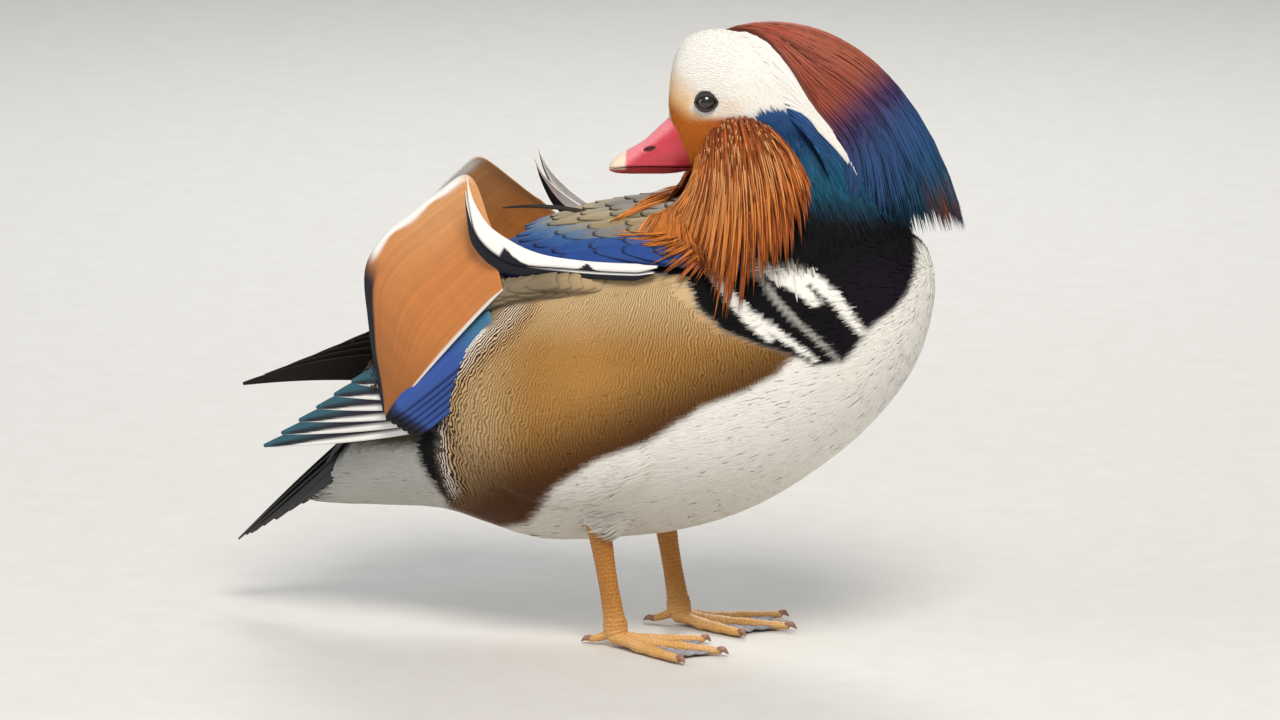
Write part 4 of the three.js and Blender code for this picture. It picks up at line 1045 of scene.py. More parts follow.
# The blue sides below the white and the white feathers themselves, which end in two points
def browStrands(side):
    lowShare = rng.uniform(0, 1, 760)
    lowBegin = rng.uniform(0.02, 0.5, 760)
    lowAngle = 0.93 + 0.1 * lowShare
    whiteShare = np.linspace(0, 1, 420)
    whiteBegin = rng.uniform(0.0, 0.32, 420)
    tine = np.where(whiteShare < 0.42, 0.6, 0.79) - 0.13 * np.abs(whiteShare - 0.42) ** 0.5
    isWhite = np.concatenate([np.zeros(760, bool), np.ones(420, bool)])[:, None]
    begin = np.concatenate([lowBegin, whiteBegin])[:, None]
    lowEnd = np.minimum(lowBegin + rng.uniform(0.35, 0.6, 760), 1.03)
    end = np.concatenate([lowEnd, tine + rng.uniform(-0.1, 0.0, 420)])[:, None]
    step = np.linspace(0, 1, 9)[None]
    t = begin + (end - begin) * step
    band = np.concatenate([lowShare, whiteShare])[:, None]
    lower = np.interp(t, [0, 0.2, 0.3, 0.4, 0.5, 0.8], [1.0, 0.93, 0.92, 0.94, 0.93, 0.885])
    white = whiteBorder(t) + (lower - whiteBorder(t)) * (0.04 + 0.96 * band)
    low = np.concatenate([lowAngle, np.ones(420)])[:, None] - 0.1 * (1 - band) * ramp(t, 0.4, 1.0)
    angle = side * np.where(isWhite, white, low).clip(0, 1)
    raised = np.where(isWhite, 0.35 + 0.75 * ramp(t, 0.2, 0.45), 0.0) + rng.uniform(-0.2, 0.2, begin.shape)
    raised = raised - 1.8 * (1 - step) ** 4 - 0.8 * step ** 5
    paths = crestPoint(angle, t, raised)
    sideways = crestSideways(angle, t)
    shape = np.array([0.5, 0.85, 1, 1, 1, 0.95, 0.8, 0.5, 0])
    vary = np.where(isWhite, 1, rng.lognormal(0, 0.22, begin.shape))[..., None]
    places = np.stack([0.81 + 0.08 * (side + 1) + 0.07 * band[:, 0], 0.02 + 0.9 * begin[:, 0]], -1)

    def shade(points):
        across, down = headPixel(points)
        below = blend(paint["blue"], paint["teal"], ramp(down, 130, 195))
        below = blend(below, paint["black"], ramp(down, 205, 236) * 0.6)
        return np.where(isWhite[..., None], paint["face"], below) * vary

    name = "browFeathers" + sides[side]
    return strands(name, paths, sideways, 1.15, 0.22, shape, shade, places, neckMaterial,
                   False)


ruffLook = {
    "rows": [
        [(22, 12, 221), (12, 20, 247), (-7, 17, 236)], [(26, 21, 193), (12, 46, 200), (-24, 32, 226)],
        [(52, 6, 191), (17, 62, 131), (-28, 40, 201)],
    ],
    "layers": [(0.0, 0.42, 4.6, 170), (0.02, 0.6, 4.4, 200), (0.08, 0.76, 3.8, 230), (0.14, 0.88, 3.0, 230),
               (0.2, 0.98, 2.0, 230), (0.25, 1.06, 1.0, 200)],
    "clumps": 22, "width": 1.5, "thick": 0.42, "shafts": 260,
}


# Sheet of the cheek's hackles: quadratic across from throat to nape, and from root to tip. A point
# that would fall inside the torso or neck is set on its surface.
def ruffPoint(side, across, t, lift):
    across, t, lift = np.broadcast_arrays(*(np.asarray(v, float) for v in (across, t, lift)))
    a, s = across[..., None], t[..., None]
    lines = [np.array(row, float) for row in ruffLook["rows"]]
    root, pull, tip = (arc(*line, a) for line in lines)
    p = arc(root, pull, tip, s)
    placed = onHead(p[..., 0], side * (p[..., 1] + 0.8 * lift), p[..., 2] + 0.2 * lift)
    for trunk in (torso, neck, torso):
        grow = 1.4 + np.maximum(lift, 0) * 0.7
        reach, at, turn = trunkReach(trunk, placed)
        out = trunkPoint(trunk, at, turn, grow)
        placed = np.where((reach < 1 + grow / 40)[..., None], out, placed)
    return placed


# Hackles gather into pointed clumps towards their tips, as wet or preened ones do.
def ruffStrands(side):
    across, begin, end, lift = [], [], [], []
    for low, high, raised, count in ruffLook["layers"]:
        across.append(np.linspace(0.0, 1.0, count) + rng.normal(0, 0.01, count))
        begin.append(low + rng.uniform(0.0, 0.16, count))
        end.append(high + rng.uniform(-0.1, 0.02, count))
        lift.append(raised + rng.uniform(-0.7, 0.7, count))
    across, begin, end, lift = (np.concatenate(v)[:, None] for v in (across, begin, end, lift))
    across, begin = across.clip(0, 1), begin.clip(0, 1)
    step = np.linspace(0, 1, 9)[None]
    t = begin + (end - begin) * step
    clumps = ruffLook["clumps"]
    layer = np.round(lift)
    centre = (np.floor(across * clumps + 0.37 * layer) + 0.5 - 0.37 * layer) / clumps
    gather = 0.72 * ramp(step, 0.35, 1.0)
    fan = across + (centre - across) * gather + 0.012 * np.sin(9 * centre * clumps) * t
    length = 1 + 0.07 * np.sin(5.3 * centre * clumps + layer)
    paths = ruffPoint(side, fan, t * length, lift - 4.5 * (1 - step) ** 5 + 0.5 * np.sin(7 * centre * clumps))
    sideways = ruffPoint(side, fan + 0.03, t, lift) - ruffPoint(side, fan - 0.03, t, lift)
    shape = np.array([0.45, 0.8, 1, 1, 1, 0.9, 0.68, 0.36, 0])
    vary = rng.lognormal(0, 0.16, (len(across), 1, 1))
    bright = 1 - ramp(across, 0.0, 0.32)
    edge = np.minimum(np.abs(across - centre) * 2 * clumps, 1)
    places = np.stack([0.02 + 0.4 * (side * 0.5 + 0.5) + 0.4 * across[:, 0], 0.02 + 0.9 * begin[:, 0]], -1)

    def shade(points):
        # Painted shade darkens each blade's sides and the edges of its clump, less at the bright front and towards
        # the tips; the ridge line is the pale shaft with a painted highlight, strongest in the clump's middle.
        ridge = np.concatenate([np.tile([0.0, 1.0, 0.0], 8), [0.4]])[None]
        far = np.concatenate([np.repeat(np.linspace(0, 1, 9)[:-1], 3), [1.0]])[None]
        base = blend(paint["ruff"], paint["ruffBright"], bright + 0.25 * far)
        shaded = (edge * 0.6 + (1 - ridge) * 0.2) * (1 - bright * 0.7) * (1 - 0.55 * far)
        ruffWithShade = blend(base, paint["ruffPaintedShade"], shaded)
        light = ridge * (1 - edge) ** 2 * (0.95 - 0.5 * ramp(far, 0.1, 0.8))
        return blend(ruffWithShade, paint["ruffPaleAndHighlight"], light + 0 * bright) * vary

    name = "ruffFeathers" + sides[side]
    return strands(name, paths, sideways, ruffLook["width"], ruffLook["thick"], shape, shade, places,
                   hackleMaterial)


# Pale shafts of single hackles: short dashes near the roots, long thin lines below
def ruffShafts(side):
    count = ruffLook["shafts"]
    across = rng.uniform(0.0, 1.0, count)[:, None]
    begin = rng.uniform(0.02, 0.62, count)[:, None]
    end = begin + (0.025 + 0.32 * ramp(begin, 0.1, 0.42)) * rng.uniform(0.6, 1.3, (count, 1))
    step = np.linspace(0, 1, 7)[None]
    t = begin + (end - begin) * step
    clumps = ruffLook["clumps"]
    centre = (np.floor(across * clumps) + 0.5) / clumps
    fan = across + (centre - across) * 0.6 * ramp(t, 0.3, 1.0)
    raised = np.interp(t, [0, 0.3, 0.7, 1], [5.2, 5.4, 4.4, 2.6]) + 0.7 - 1.2 * (1 - step) ** 4
    paths = ruffPoint(side, fan, t, raised)
    sideways = ruffPoint(side, fan + 0.03, t, raised) - ruffPoint(side, fan - 0.03, t, raised)
    shape = np.array([0.5, 1, 1, 0.85, 0.6, 0.3, 0])
    places = np.stack([0.02 + 0.4 * (side * 0.5 + 0.5) + 0.4 * across[:, 0], 0.02 + 0.9 * begin[:, 0]], -1)
    tone = blend(paint["ruffPaleAndHighlight"], paint["ruffBright"], ramp(begin, 0.2, 0.6))[:, None] * np.ones((1, 19, 1))
    tone = tone.reshape(count, -1, 3) * rng.lognormal(0, 0.1, (count, 1, 1))
    name = "ruffShafts" + sides[side]
    return strands(name, paths, sideways, 0.5, 0.22, shape, lambda points: tone, places, hackleMaterial)


ruffShafts(1)
ruffShafts(-1)
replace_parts(crestStrands(1), "crest")
crestStrands(-1)
browStrands(1)
browStrands(-1)
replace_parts(ruffStrands(1), "ruff_left")
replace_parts(ruffStrands(-1), "ruff_right")


# Vanes: closed thin sheets with a shaft, laid out as a grid of s across and t along. The grid's points
# are raised and lowered by half the thickness, and the rim joins the two sides.
def vanes(name, grids, thick, colours, material, shaftHigh=0.3):
    grids = np.asarray(grids, float)
    count, rows, columns = grids.shape[:3]
    across, along = np.linspace(0, 1, columns), np.linspace(0, 1, rows)
    edge = np.minimum(across, 1 - across) * 2
    shaft = np.exp(-((across - 0.5) / 0.05) ** 2) * (1 - along[:, None]) ** 0.5
    half = (thick * (0.25 + 0.25 * np.sqrt(edge))[None, :] + shaftHigh * shaft)[None, ..., None]
    normals = gridNormals(grids)
    top, low = grids + normals * half, grids - normals * half
    points = np.stack([top, low], axis=1).reshape(count, -1, 3)
    layer = rows * columns
    face = gridFaces(rows, columns)
    index = np.arange(layer).reshape(rows, columns)
    rim = np.concatenate([index[0, :-1], index[:-1, -1], index[-1, :0:-1], index[:0:-1, 0]])
    nextRim = np.roll(rim, -1)
    wall = np.stack([rim, rim + layer, nextRim + layer, nextRim], -1)
    quads = np.concatenate([face[:, ::-1], face + layer, wall[:, ::-1]])
    base = (np.arange(count) * 2 * layer)[:, None, None]
    s, t = np.broadcast_arrays(across[None, :], along[:, None])
    tint = np.broadcast_to(colours(grids, s[None], t[None]), (count, rows, columns, 3))
    own = np.stack([s, t], -1)[None] + (np.arange(count) % 97)[:, None, None, None] * np.array([0.0, 3.1])
    both = lambda values: np.stack([values, values], axis=1).reshape(count, -1, values.shape[-1])
    faces = [(quads[None] + base).reshape(-1, 4)]
    made = buildMesh(name, points, faces, material, both(tint), {"vane": both(own)})
    print(name, count)
    return made


# One vane: a quadratic shaft, its width full in the middle and rounded at the tip, its webs swept back
# and hollowed below.
def featherGrid(root, bend, tip, across, width, rows=22, columns=9, curl=0.0, tipPower=0.55):
    root, bend, tip, across = (np.asarray(v, float) for v in (root, bend, tip, across))
    t = np.linspace(0, 1, rows)[:, None]
    shaft = arc(root, bend, tip, t)
    wide = width * np.maximum(0.04, np.sin(pi * (0.32 + 0.66 * t)) ** tipPower)
    along = unit(np.gradient(shaft, axis=0))
    side = unit(across - (across * along).sum(-1, keepdims=True) * along)
    normal = np.cross(side, along)
    s = np.linspace(-0.5, 0.5, columns)
    grid = shaft[:, None] + side[:, None] * (wide * s[None])[..., None]
    swept = along[:, None] * (-np.abs(s)[None, :, None] * wide[..., None] * 0.35)
    return grid + swept - normal[:, None] * (curl * (2 * s[None, :, None]) ** 2) * (1 - 0.3 * t[..., None])


wingOut = (0.1, 1, 0.25)


def wingFeather(root, tip, arch, width, rows=24, columns=9, tipPower=0.55):
    root, tip = np.array(root, float), np.array(tip, float)
    across = np.cross(tip - root, wingOut)
    return featherGrid(root, (root + tip) / 2 + arch, tip, across, width, rows, columns, 0.3, tipPower)


# Folded wing: stepped primaries, the speculum's secondaries, and coverts above them
def wingFeathers(primaryTip, topTip, arch):
    primaryTip, topTip = np.array(primaryTip, float), np.array(topTip, float)
    long, middle, covert = [], [], []
    for i in range(7):
        t = i / 6
        root = [-82 + 4 * t, 40 + 0.75 * i, 101 + 23 * t]
        tip = primaryTip + (topTip - primaryTip) * t + [0, 0.5 * i, 0]
        long.append(wingFeather(root, tip, [0, 4, arch], 15, 36, 17, 0.85))
    for i in range(6):
        off = np.array([0.736, 0, -0.677]) * (11 - 2.1 * i)
        root = np.array([-50, 48.6 + 0.5 * i, 147]) + off
        tip = np.array([-97 - 0.8 * i, 45.2 + 0.5 * i, 99]) + off
        middle.append(wingFeather(root, tip, [0, 2.2, 1], 12.5))
    for row in range(3):
        for i in range(10):
            fall = max(i - 4, 0)
            sunk = max(4 - i, 0)
            out = 52.9 - 0.03 * i * i + 0.35 * row - 1.5 * sunk
            root = np.array([-6 - 5.2 * i + 3.6 * row - 5 * (row == 1), out, 163.2 + 1.8 * row - 0.9 * fall])
            tip = root + [-14 - 0.3 * fall, 0.3 + 0.7 * sunk - 0.3 * fall, -3.5 - 2.0 * fall]
            covert.append(wingFeather(root, tip, [0, 0.6, 0.3], 7.5, 14, 7))
    return [np.array(g) for g in (long, middle, covert)]


# Near primaries: dark with a white lower web and a blue-green tip. The far ones are browner.
def primaryColour(near):
    def shade(grids, s, t):
        which = (np.arange(grids.shape[0]) / (grids.shape[0] - 1))[:, None, None]
        s, t = s + which * 0, t + which * 0
        if near:
            upper = ramp(0.6 - s, -0.1, 0.15) * ramp(t, 0.5, 0.75) + ramp(t, 0.92, 1.0)
            base = blend(paint["primary"], paint["primaryTeal"], upper * 0.9)
            start = 0.79 + 0.13 * ramp(t, 0.7, 0.95)
            return blend(base, paint["white"], ramp(s, start, start + 0.05) * ramp(t, 0.1, 0.2))
        patch = ramp(which, 0.45, 0.8) * ramp(t, 0.25, 0.45) * (1 - ramp(t, 0.6, 0.75))
        return blend(paint["farPrimary"], paint["farPatch"], patch)
    return shade


# Speculum: teal, then blue, with black tips and thin dark lower edges.
def secondaryColour(grids, s, t):
    colour = blend(paint["speculum"], paint["scapularTeal"], 1 - ramp(t, 0.1, 0.4) + 0 * s)
    return blend(colour, paint["black"], ramp(t, 0.88, 0.93) + 0.5 * ramp(s, 0.9, 1.0))


# Coverts: grey-brown above, teal green beside the speculum, each with a thin dark edge.
def covertColour(grids, s, t):
    green = ramp(-36 - grids[..., 0], 6, 22) * ramp(157 - grids[..., 2], 0, 9)
    colour = blend(paint["covert"], paint["primaryTeal"], green)
    colour = blend(colour, paint["flankPale"], 0.75 * ramp(grids[..., 0], -26, -4))
    return blend(colour, paint["black"], 0.14 + (ramp(np.abs(s - 0.5), 0.4, 0.5) + ramp(t, 0.93, 1.0)) * 0.2)


wings = [
    (1, (-184, -9, 102), (-132, 14, 123), 13, "Left", "wing_left"),
    (-1, (-166, 29, 79), (-112, 36, 119), 3, "Right", "wing_right"),
]
for side, first, top, arch, name, node in wings:
    long, middle, covert = (mirrored(g, side) for g in wingFeathers(first, top, arch))
    wing = vanes("primaries" + name, long, 0.7, primaryColour(side < 0), vaneMaterial)
    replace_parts(wing, node)
    vanes("secondaries" + name, middle, 0.7, secondaryColour, vaneMaterial)
    vanes("wingCoverts" + name, covert, 0.6, covertColour, vaneMaterial)


# Sail: the raised tertial, from its shaft to the margin of its broad web, with a fine ripple of barbs
sailLook = {
    "shaft": [(-44, 53, 161), (-66, 55, 138), (-102, 46, 98)],
    "margin": [(-56, 30, 194), (-72, 23, 205), (-85, 24, 197), (-97, 27, 187), (-108, 30, 177.5),
               (-115.5, 34, 163), (-112.5, 39, 141.5), (-107, 43, 116), (-102, 46, 98)],
    "bulge": 5, "ripple": 0.12, "waves": 60, "round": 0.3,
}


def sailGrid(side, lean, rows=70, columns=60):
    s = np.linspace(0, 1, rows)[:, None, None]
    b = np.linspace(0, 1, columns)[None, :, None] * (1 - sailLook["round"] * (1 - ramp(s, 0.0, 0.16)) ** 2)
    root, pull, tip = (np.array(p, float) for p in sailLook["shaft"])
    along = 0.985 * s
    shaft = arc(root, pull, tip, along)
    grid = shaft * (1 - b) + alongLine(sailLook["margin"], rows, 0, 0.97)[:, None] * b
    bulge = sailLook["bulge"] * np.sin(pi * b) * (1 - s * s)
    ripple = sailLook["ripple"] * np.sin(sailLook["waves"] * s + 5 * b) * np.sin(pi * b)
    lift = np.concatenate([-lean * b * (1 - s), bulge + ripple, 0 * b * s], -1)
    return mirrored(grid + lift, side)


# Orange web, paler at its upper corner and deeper low down, with a white margin above, a black one
# below and a thin white line along the shaft. s runs from shaft to margin, t from root to point.
def sailColour(grids, s, t):
    colour = blend(paint["sail"], paint["sailDeep"], ramp(t, 0.45, 0.95) * 0.75)
    colour = blend(colour, paint["sailPale"], ramp(s, 0.4, 0.95) * (1 - ramp(t, 0.25, 0.6)) * 0.7)
    streak = 0.5 + 0.5 * np.sin(t * 310 + s * 14 + 2 * np.sin(t * 37))
    colour = colour * (0.98 + 0.03 * streak)[..., None]
    margin = ramp(s, 0.93 - 0.02 * np.sin(t * 40), 0.965) * (1 - ramp(t, 0.5, 0.56)) * ramp(t, 0.1, 0.2)
    colour = blend(colour, paint["white"], margin)
    low = 0.25 * ramp(t, 0.8, 1.0)
    colour = blend(colour, paint["navy"], ramp(s, 0.83 - low, 0.88 - low) * ramp(t, 0.5, 0.6))
    return blend(colour, paint["white"], 1 - ramp(s, 0.012, 0.03))


for side, lean, name, node in ((1, 14, "Left", "sail_left"), (-1, 0, "Right", "sail_right")):
    sail = vanes("sailFeather" + name, sailGrid(side, lean)[None], 0.8, sailColour, vaneMaterial,
                 0)
    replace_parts(sail, node)


# Curl: the black and white shoulder feather, swept along the solid's line, wide where it turns up
curlLook = {
    "line": [(25.7, 49.4, 173.8), (17.3, 49.7, 172.5), (-13.3, 48, 171.9), (-38.7, 49.3, 174.5),
             (-53.8, 49.6, 183), (-61.5, 45.5, 194.7), (-65.1, 42.5, 206.4)],
    "slope": 0.45, "rows": 90, "columns": 15,
}


def curlGrid(side, shift, width, reach):
    rows, columns = curlLook["rows"], curlLook["columns"]
    line = alongLine(curlLook["line"], rows, 0, reach) + shift
    t = np.linspace(0, 1, rows)
    swell = 0.55 * np.exp(-((t - 0.66) / 0.16) ** 2)
    wide = width * np.maximum(0.04, (0.45 + swell - 2.5 * np.maximum(t - 0.8, 0)) * np.minimum(0.15 + t / 0.1, 1))
    along = unit(np.gradient(line, axis=0))
    across = unit(np.stack([-along[:, 2], -curlLook["slope"] * along[:, 0], along[:, 0]], -1))
    s = np.linspace(-0.5, 0.5, columns)
    grid = line[:, None] + across[:, None] * (wide[:, None] * s)[..., None]
    bulge = 1.2 * (1 - (2 * s) ** 2) * (1 - ramp(t, 0.85, 1.0))[:, None]
    return mirrored(grid + np.array([0, 1, 0]) * bulge[..., None], side)


# Black outer vane, and a white inner one into which the black runs up as a pointed notch.
def curlColour(grids, s, t):
    notch = 0.5 * np.maximum(0, 1 - np.abs(0.655 - t) / 0.11) * (t < 0.655)
    split = 0.6 * np.exp(-((t - 0.3) / 0.025) ** 2)
    inner = blend(paint["white"], paint["navy"], ramp(s + notch + split, 0.84, 0.88))
    outer = blend(paint["white"], paint["navy"], ramp(s + 0.6 * notch, 0.5, 0.56) + 0 * t)
    return np.concatenate([outer, inner])


for side, name, node in ((1, "Left", "curl_left"), (-1, "Right", "curl_right")):
    both = np.stack([curlGrid(side, (-1, 0, -1.5), 12, 0.97), curlGrid(side, (0.8, 0.9, 1.5), 9, 1)])
    curl = vanes("shoulderFeather" + name, both, 0.7, curlColour, vaneMaterial, 0)
    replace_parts(curl, node)


# Scapulars and mantle: broad feathers laid on the torso's own surface, each given by its place along
# it, its turn round it, and a length and width in millimetres. The tip lies on the next one's root.
def laidFeather(at, turn, length, width, rise, swing, rows=18, columns=9):
    t = np.linspace(0, 1, rows)[:, None]
    s = np.linspace(-0.5, 0.5, columns)[None]
    wide = width * np.maximum(0.05, np.sin(pi * (0.3 + 0.67 * t)) ** 0.6)
    radius = 52.0
    place = at - length * t + np.abs(s) * wide * 0.5
    angle = turn + swing * t + s * wide / radius
    return trunkPoint(torso, place, angle, rise[0] + (rise[1] - rise[0]) * t + 0.35 * (1 - (2 * s) ** 2))


scapularLook = {
    "rows": [(0.76, 7, 44, 13, 0.05), (0.88, 7, 40, 12, 0.03), (1.0, 7, 36, 12, 0.02), (1.12, 7, 32, 11, 0.0),
             (1.25, 8, 26, 11, 0.0), (1.38, 8, 22, 11, 0.0), (1.51, 8, 20, 11, 0.0)],
    "first": 62, "last": -30, "rise": (0.7, 2.1),
}


def scapulars(side):
    grids = []
    for turn, count, length, width, swing in scapularLook["rows"]:
        for i in range(count):
            at = scapularLook["first"] + (scapularLook["last"] - scapularLook["first"]) * i / (count - 1)
            length = length * rng.uniform(0.92, 1.08)
            grids.append(laidFeather(at + 5 * (turn * 8 % 2), turn + rng.normal(0, 0.012), length, width,
                                     scapularLook["rise"], swing))
    return mirrored(np.array(grids), side)


# Blue beside the curl, green and then olive brown towards the back, with thin dark edges and shafts.
def scapularColour(grids, s, t):
    middle = grids[:, :, 4:5]
    across, down = photoPixel(nearSide(middle, np.zeros(middle.shape[:-1], int)))
    high = middle[..., 2] - 0.03 * middle[..., 0]
    colour = blend(paint["scapular"], paint["scapularTeal"], ramp(high, 178, 188) * ramp(-middle[..., 0], -20, 25))
    colour = blend(colour, paint["olive"], ramp(high, 183, 189))
    colour = blend(colour, paint["oliveDark"], ramp(high, 191.5, 194) * 0.6)
    edge = ramp(np.abs(s - 0.5), 0.44, 0.49) * (s < 0.5) + ramp(t, 0.96, 1.0)
    fine = 0.94 + 0.06 * np.sin(40 * np.abs(s - 0.5) + 50 * t)
    return blend(colour * fine[..., None], paint["navy"], edge * 0.8)


for side, name in ((1, "Left"), (-1, "Right")):
    vanes("scapulars" + name, scapulars(side), 0.5, scapularColour, vaneMaterial, 0.1)


# One thin dark feather stands off the near side of the back, with its point towards the tail.
plume = featherGrid(
    fromPixel(602, 217, -13), fromPixel(548, 203, -14), fromPixel(503, 209, -17), (0, 0.5, 1), 2.0, 30, 7)


def plumeColour(grids, s, t):
    return blend(paint["oliveDark"], paint["black"], np.full(s.shape, 0.75))


vanes("backPlume", plume[None], 0.4, plumeColour, vaneMaterial, 0.1)


# Tail: a roofed fan of pointed feathers under short coverts
tailLook = {"root": (-112, 0, 106), "tip": (-191.5, 0, 29), "feathers": 14, "width": 17}


def tailGrids():
    root0, tip0 = np.array(tailLook["root"], float), np.array(tailLook["tip"], float)
    line = tip0 - root0
    long, short = [], []
    for i in range(tailLook["feathers"]):
        spread = 2 * i / (tailLook["feathers"] - 1) - 1
        far = abs(spread)
        root = root0 + [2 + 3 * far, 8 * spread, -9 * far - 2]
        tip = root0 + line * (1 - 0.36 * far ** 1.2) + [5 * far, 12 * spread, -7 * far + 0.4 * (i % 2)]
        across = np.array([0.3 * spread, 1, -1.5 * spread])
        middle, width = (root + tip) / 2 + [0, 2 * spread, 3], tailLook["width"] * (1 - 0.15 * far)
        long.append(featherGrid(root, middle, tip, across, width, 30, 11, 0.5, 0.78))
    for row in range(3):
        for i in range(7):
            spread = (i - 3) / 3
            root = root0 + [3 + 7 * row, 8 * spread, 1.5 - 3 * abs(spread) + 6 * row]
            tip = root + [-33 + 3 * row, 7 * spread, -29 - 5 * abs(spread) + 4 * row]
            across = (0, 1, -0.5 * spread)
            short.append(featherGrid(root, (root + tip) / 2 + [-2, 0, 4], tip, across, 11.5, 18, 7, 0.4))
    return np.array(long), np.array(short)


tailLong, tailShort = tailGrids()


def tailColour(grids, s, t):
    colour = blend(paint["tail"], paint["tailWarm"], ramp(t, 0.3, 1.0) * 0.5 + 0.35 * ramp(s, 0.8, 1.0))
    return blend(colour, paint["black"], 0.6 * np.exp(-((s - 0.5) / 0.03) ** 2) + 0 * t)


def tailCovertColour(grids, s, t):
    edge = ramp(np.abs(s - 0.5), 0.38, 0.5) * 0.5
    return blend(blend(paint["oliveDark"], paint["tail"], t + 0 * s), paint["black"], edge)


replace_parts(vanes("tailFeathers", tailLong, 0.7, tailColour, vaneMaterial), "tail")
vanes("tailCoverts", tailShort, 0.6, tailCovertColour, vaneMaterial)


# Bill: sections along the head's forward line, cut at the mouth, with sunk nostrils and a raised nail
billLook = {"mouth": 214.2, "gap": 0.25,
            "nostril": (42, 222.5), "nostrilSize": (2.7, 1.15), "nostrilTurn": radians(18),
            "rows": 110, "columns": 120}
bill = trunkFrom(
    [
        (20, 236, 213, 8, 0, 2.4), (30, 237.5, 211, 9, 0, 2.4), (36, 233, 210.5, 7.8, 0, 2.4),
        (44, 225.5, 210.5, 6.6, 0, 2.4), (52, 220.5, 210.5, 6.2, 0, 2.4), (57, 217, 211, 5.2, 0, 2.4),
        (59.5, 214.5, 212, 3, 0, 2.2),
    ],
    onHead, head["local"],
)


# Share of a point's closeness to the nostril, 1 in its middle, and to the nail's shield at the tip.
def billParts(points):
    forward, side, height = headLocal(points)
    side = np.abs(side)
    along, rise = forward - billLook["nostril"][0], height - billLook["nostril"][1]
    ca, sa = cos(billLook["nostrilTurn"]), sin(billLook["nostrilTurn"])
    a = (along * ca - rise * sa) / billLook["nostrilSize"][0]
    b = (along * sa + rise * ca) / billLook["nostrilSize"][1]
    curve = side ** 2 / 8
    nail = ramp(forward + 0.12 * side ** 2, 51.5 + curve, 53.2 + curve)
    return np.hypot(a, b), nail, forward, side, height


def billColour(points):
    hole, nail, forward, side, height = billParts(points)
    # Painted highlight: paler pink along the top of the bill.
    colour = blend(paint["bill"], paint["billPaintedHighlight"], ramp(height - 236 + (forward - 30) * 0.85, -4.5, 0.5) * 0.75)
    colour = blend(colour, paint["billDeep"], ramp(216.5 - height, 0, 3) * 0.7 + ramp(forward, 36, 27) * 0.4)
    colour = blend(colour, paint["nail"], nail * ramp(height, 212.6, 213.6))
    # Painted shade: the sunk nostrils are dark inside.
    return blend(colour, paint["nostril"], 1 - ramp(hole, 0.8, 1.2))


def makeBill():
    at = np.linspace(24, 59.5, billLook["rows"])[:, None]
    turn = (np.arange(billLook["columns"]) * 2 * pi / billLook["columns"])[None]
    whole = trunkPoint(bill, at, turn)
    hole, nail, forward, side, height = billParts(whole)
    outward = unit(whole - onHead(forward, 0 * side, 0.5 * (height + billLook["mouth"])))
    step = -1.3 * (1 - ramp(hole, 0.7, 1.15)) + 0.22 * np.exp(-((hole - 1.3) / 0.2) ** 2)
    step = step + 0.35 * nail * ramp(height, 213, 216) - 0.16 * np.exp(-((nail - 0.5) / 0.22) ** 2) * (forward > 50)
    step = step + 0.25 * np.exp(-((height - billLook["mouth"] - 1) / 0.8) ** 2)
    shaped = whole + outward * step[..., None]
    upper, lower = shaped.copy(), shaped.copy()
    lip = 0.35 * np.sin((forward - 30) / 9) - 0.5 * ramp(forward, 50, 58)
    upper[..., 2] = np.maximum(upper[..., 2], billLook["mouth"] + billLook["gap"] + lip)
    lower[..., 2] = np.minimum(lower[..., 2], billLook["mouth"] - billLook["gap"] + lip)
    inward = headLocal(lower)[1]
    lower = lower - (0.09 * inward)[..., None] * headLeft
    for name, grid, node in (("billUpper", upper, "bill_upper"), ("billLower", lower, "bill_lower")):
        points, quads, tris = closedTube(grid)
        colours = billColour(points)
        made = buildMesh(name, points, [quads, tris], billMaterial, colours)
        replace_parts(made, node)


makeBill()


# Eyes: spheres with a dark pupil and a brown iris about the axis of sight, in creased lids
def makeEye(side, name, node):
    radius = pose["eyeRadius"]
    fall = np.linspace(0.03, pi - 0.03, 48)[:, None]
    turn = (np.arange(64) * 2 * pi / 64)[None]
    bulge = 1 + 0.05 * np.exp(-(fall / 0.55) ** 2)
    forward = radius * np.sin(fall) * np.cos(turn) * bulge
    height = radius * np.sin(fall) * np.sin(turn) * bulge
    depth = radius * np.cos(fall) * bulge * np.ones_like(turn)
    grid = onHead(pose["eyeForward"] + forward, side * (pose["eyeSide"] + depth), pose["eyeHeight"] + height)
    points, quads, tris = closedTube(grid)
    local = points - onHead(pose["eyeForward"], side * pose["eyeSide"], pose["eyeHeight"])
    away = np.linalg.norm(local - (local @ headLeft)[:, None] * headLeft, axis=1)
    rays = 0.5 + 0.5 * np.sin(36 * np.arctan2(local @ up, local @ headForward))
    colour = blend(paint["iris"], paint["pupil"], 1 - ramp(away, 2.3, 2.6))
    colour = blend(colour, paint["pupil"], ramp(away, 3.5, 4.1) + 0.35 * rays)
    made = buildMesh(name, points, [quads, tris], eyeMaterial, colour)
    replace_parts(made, node)


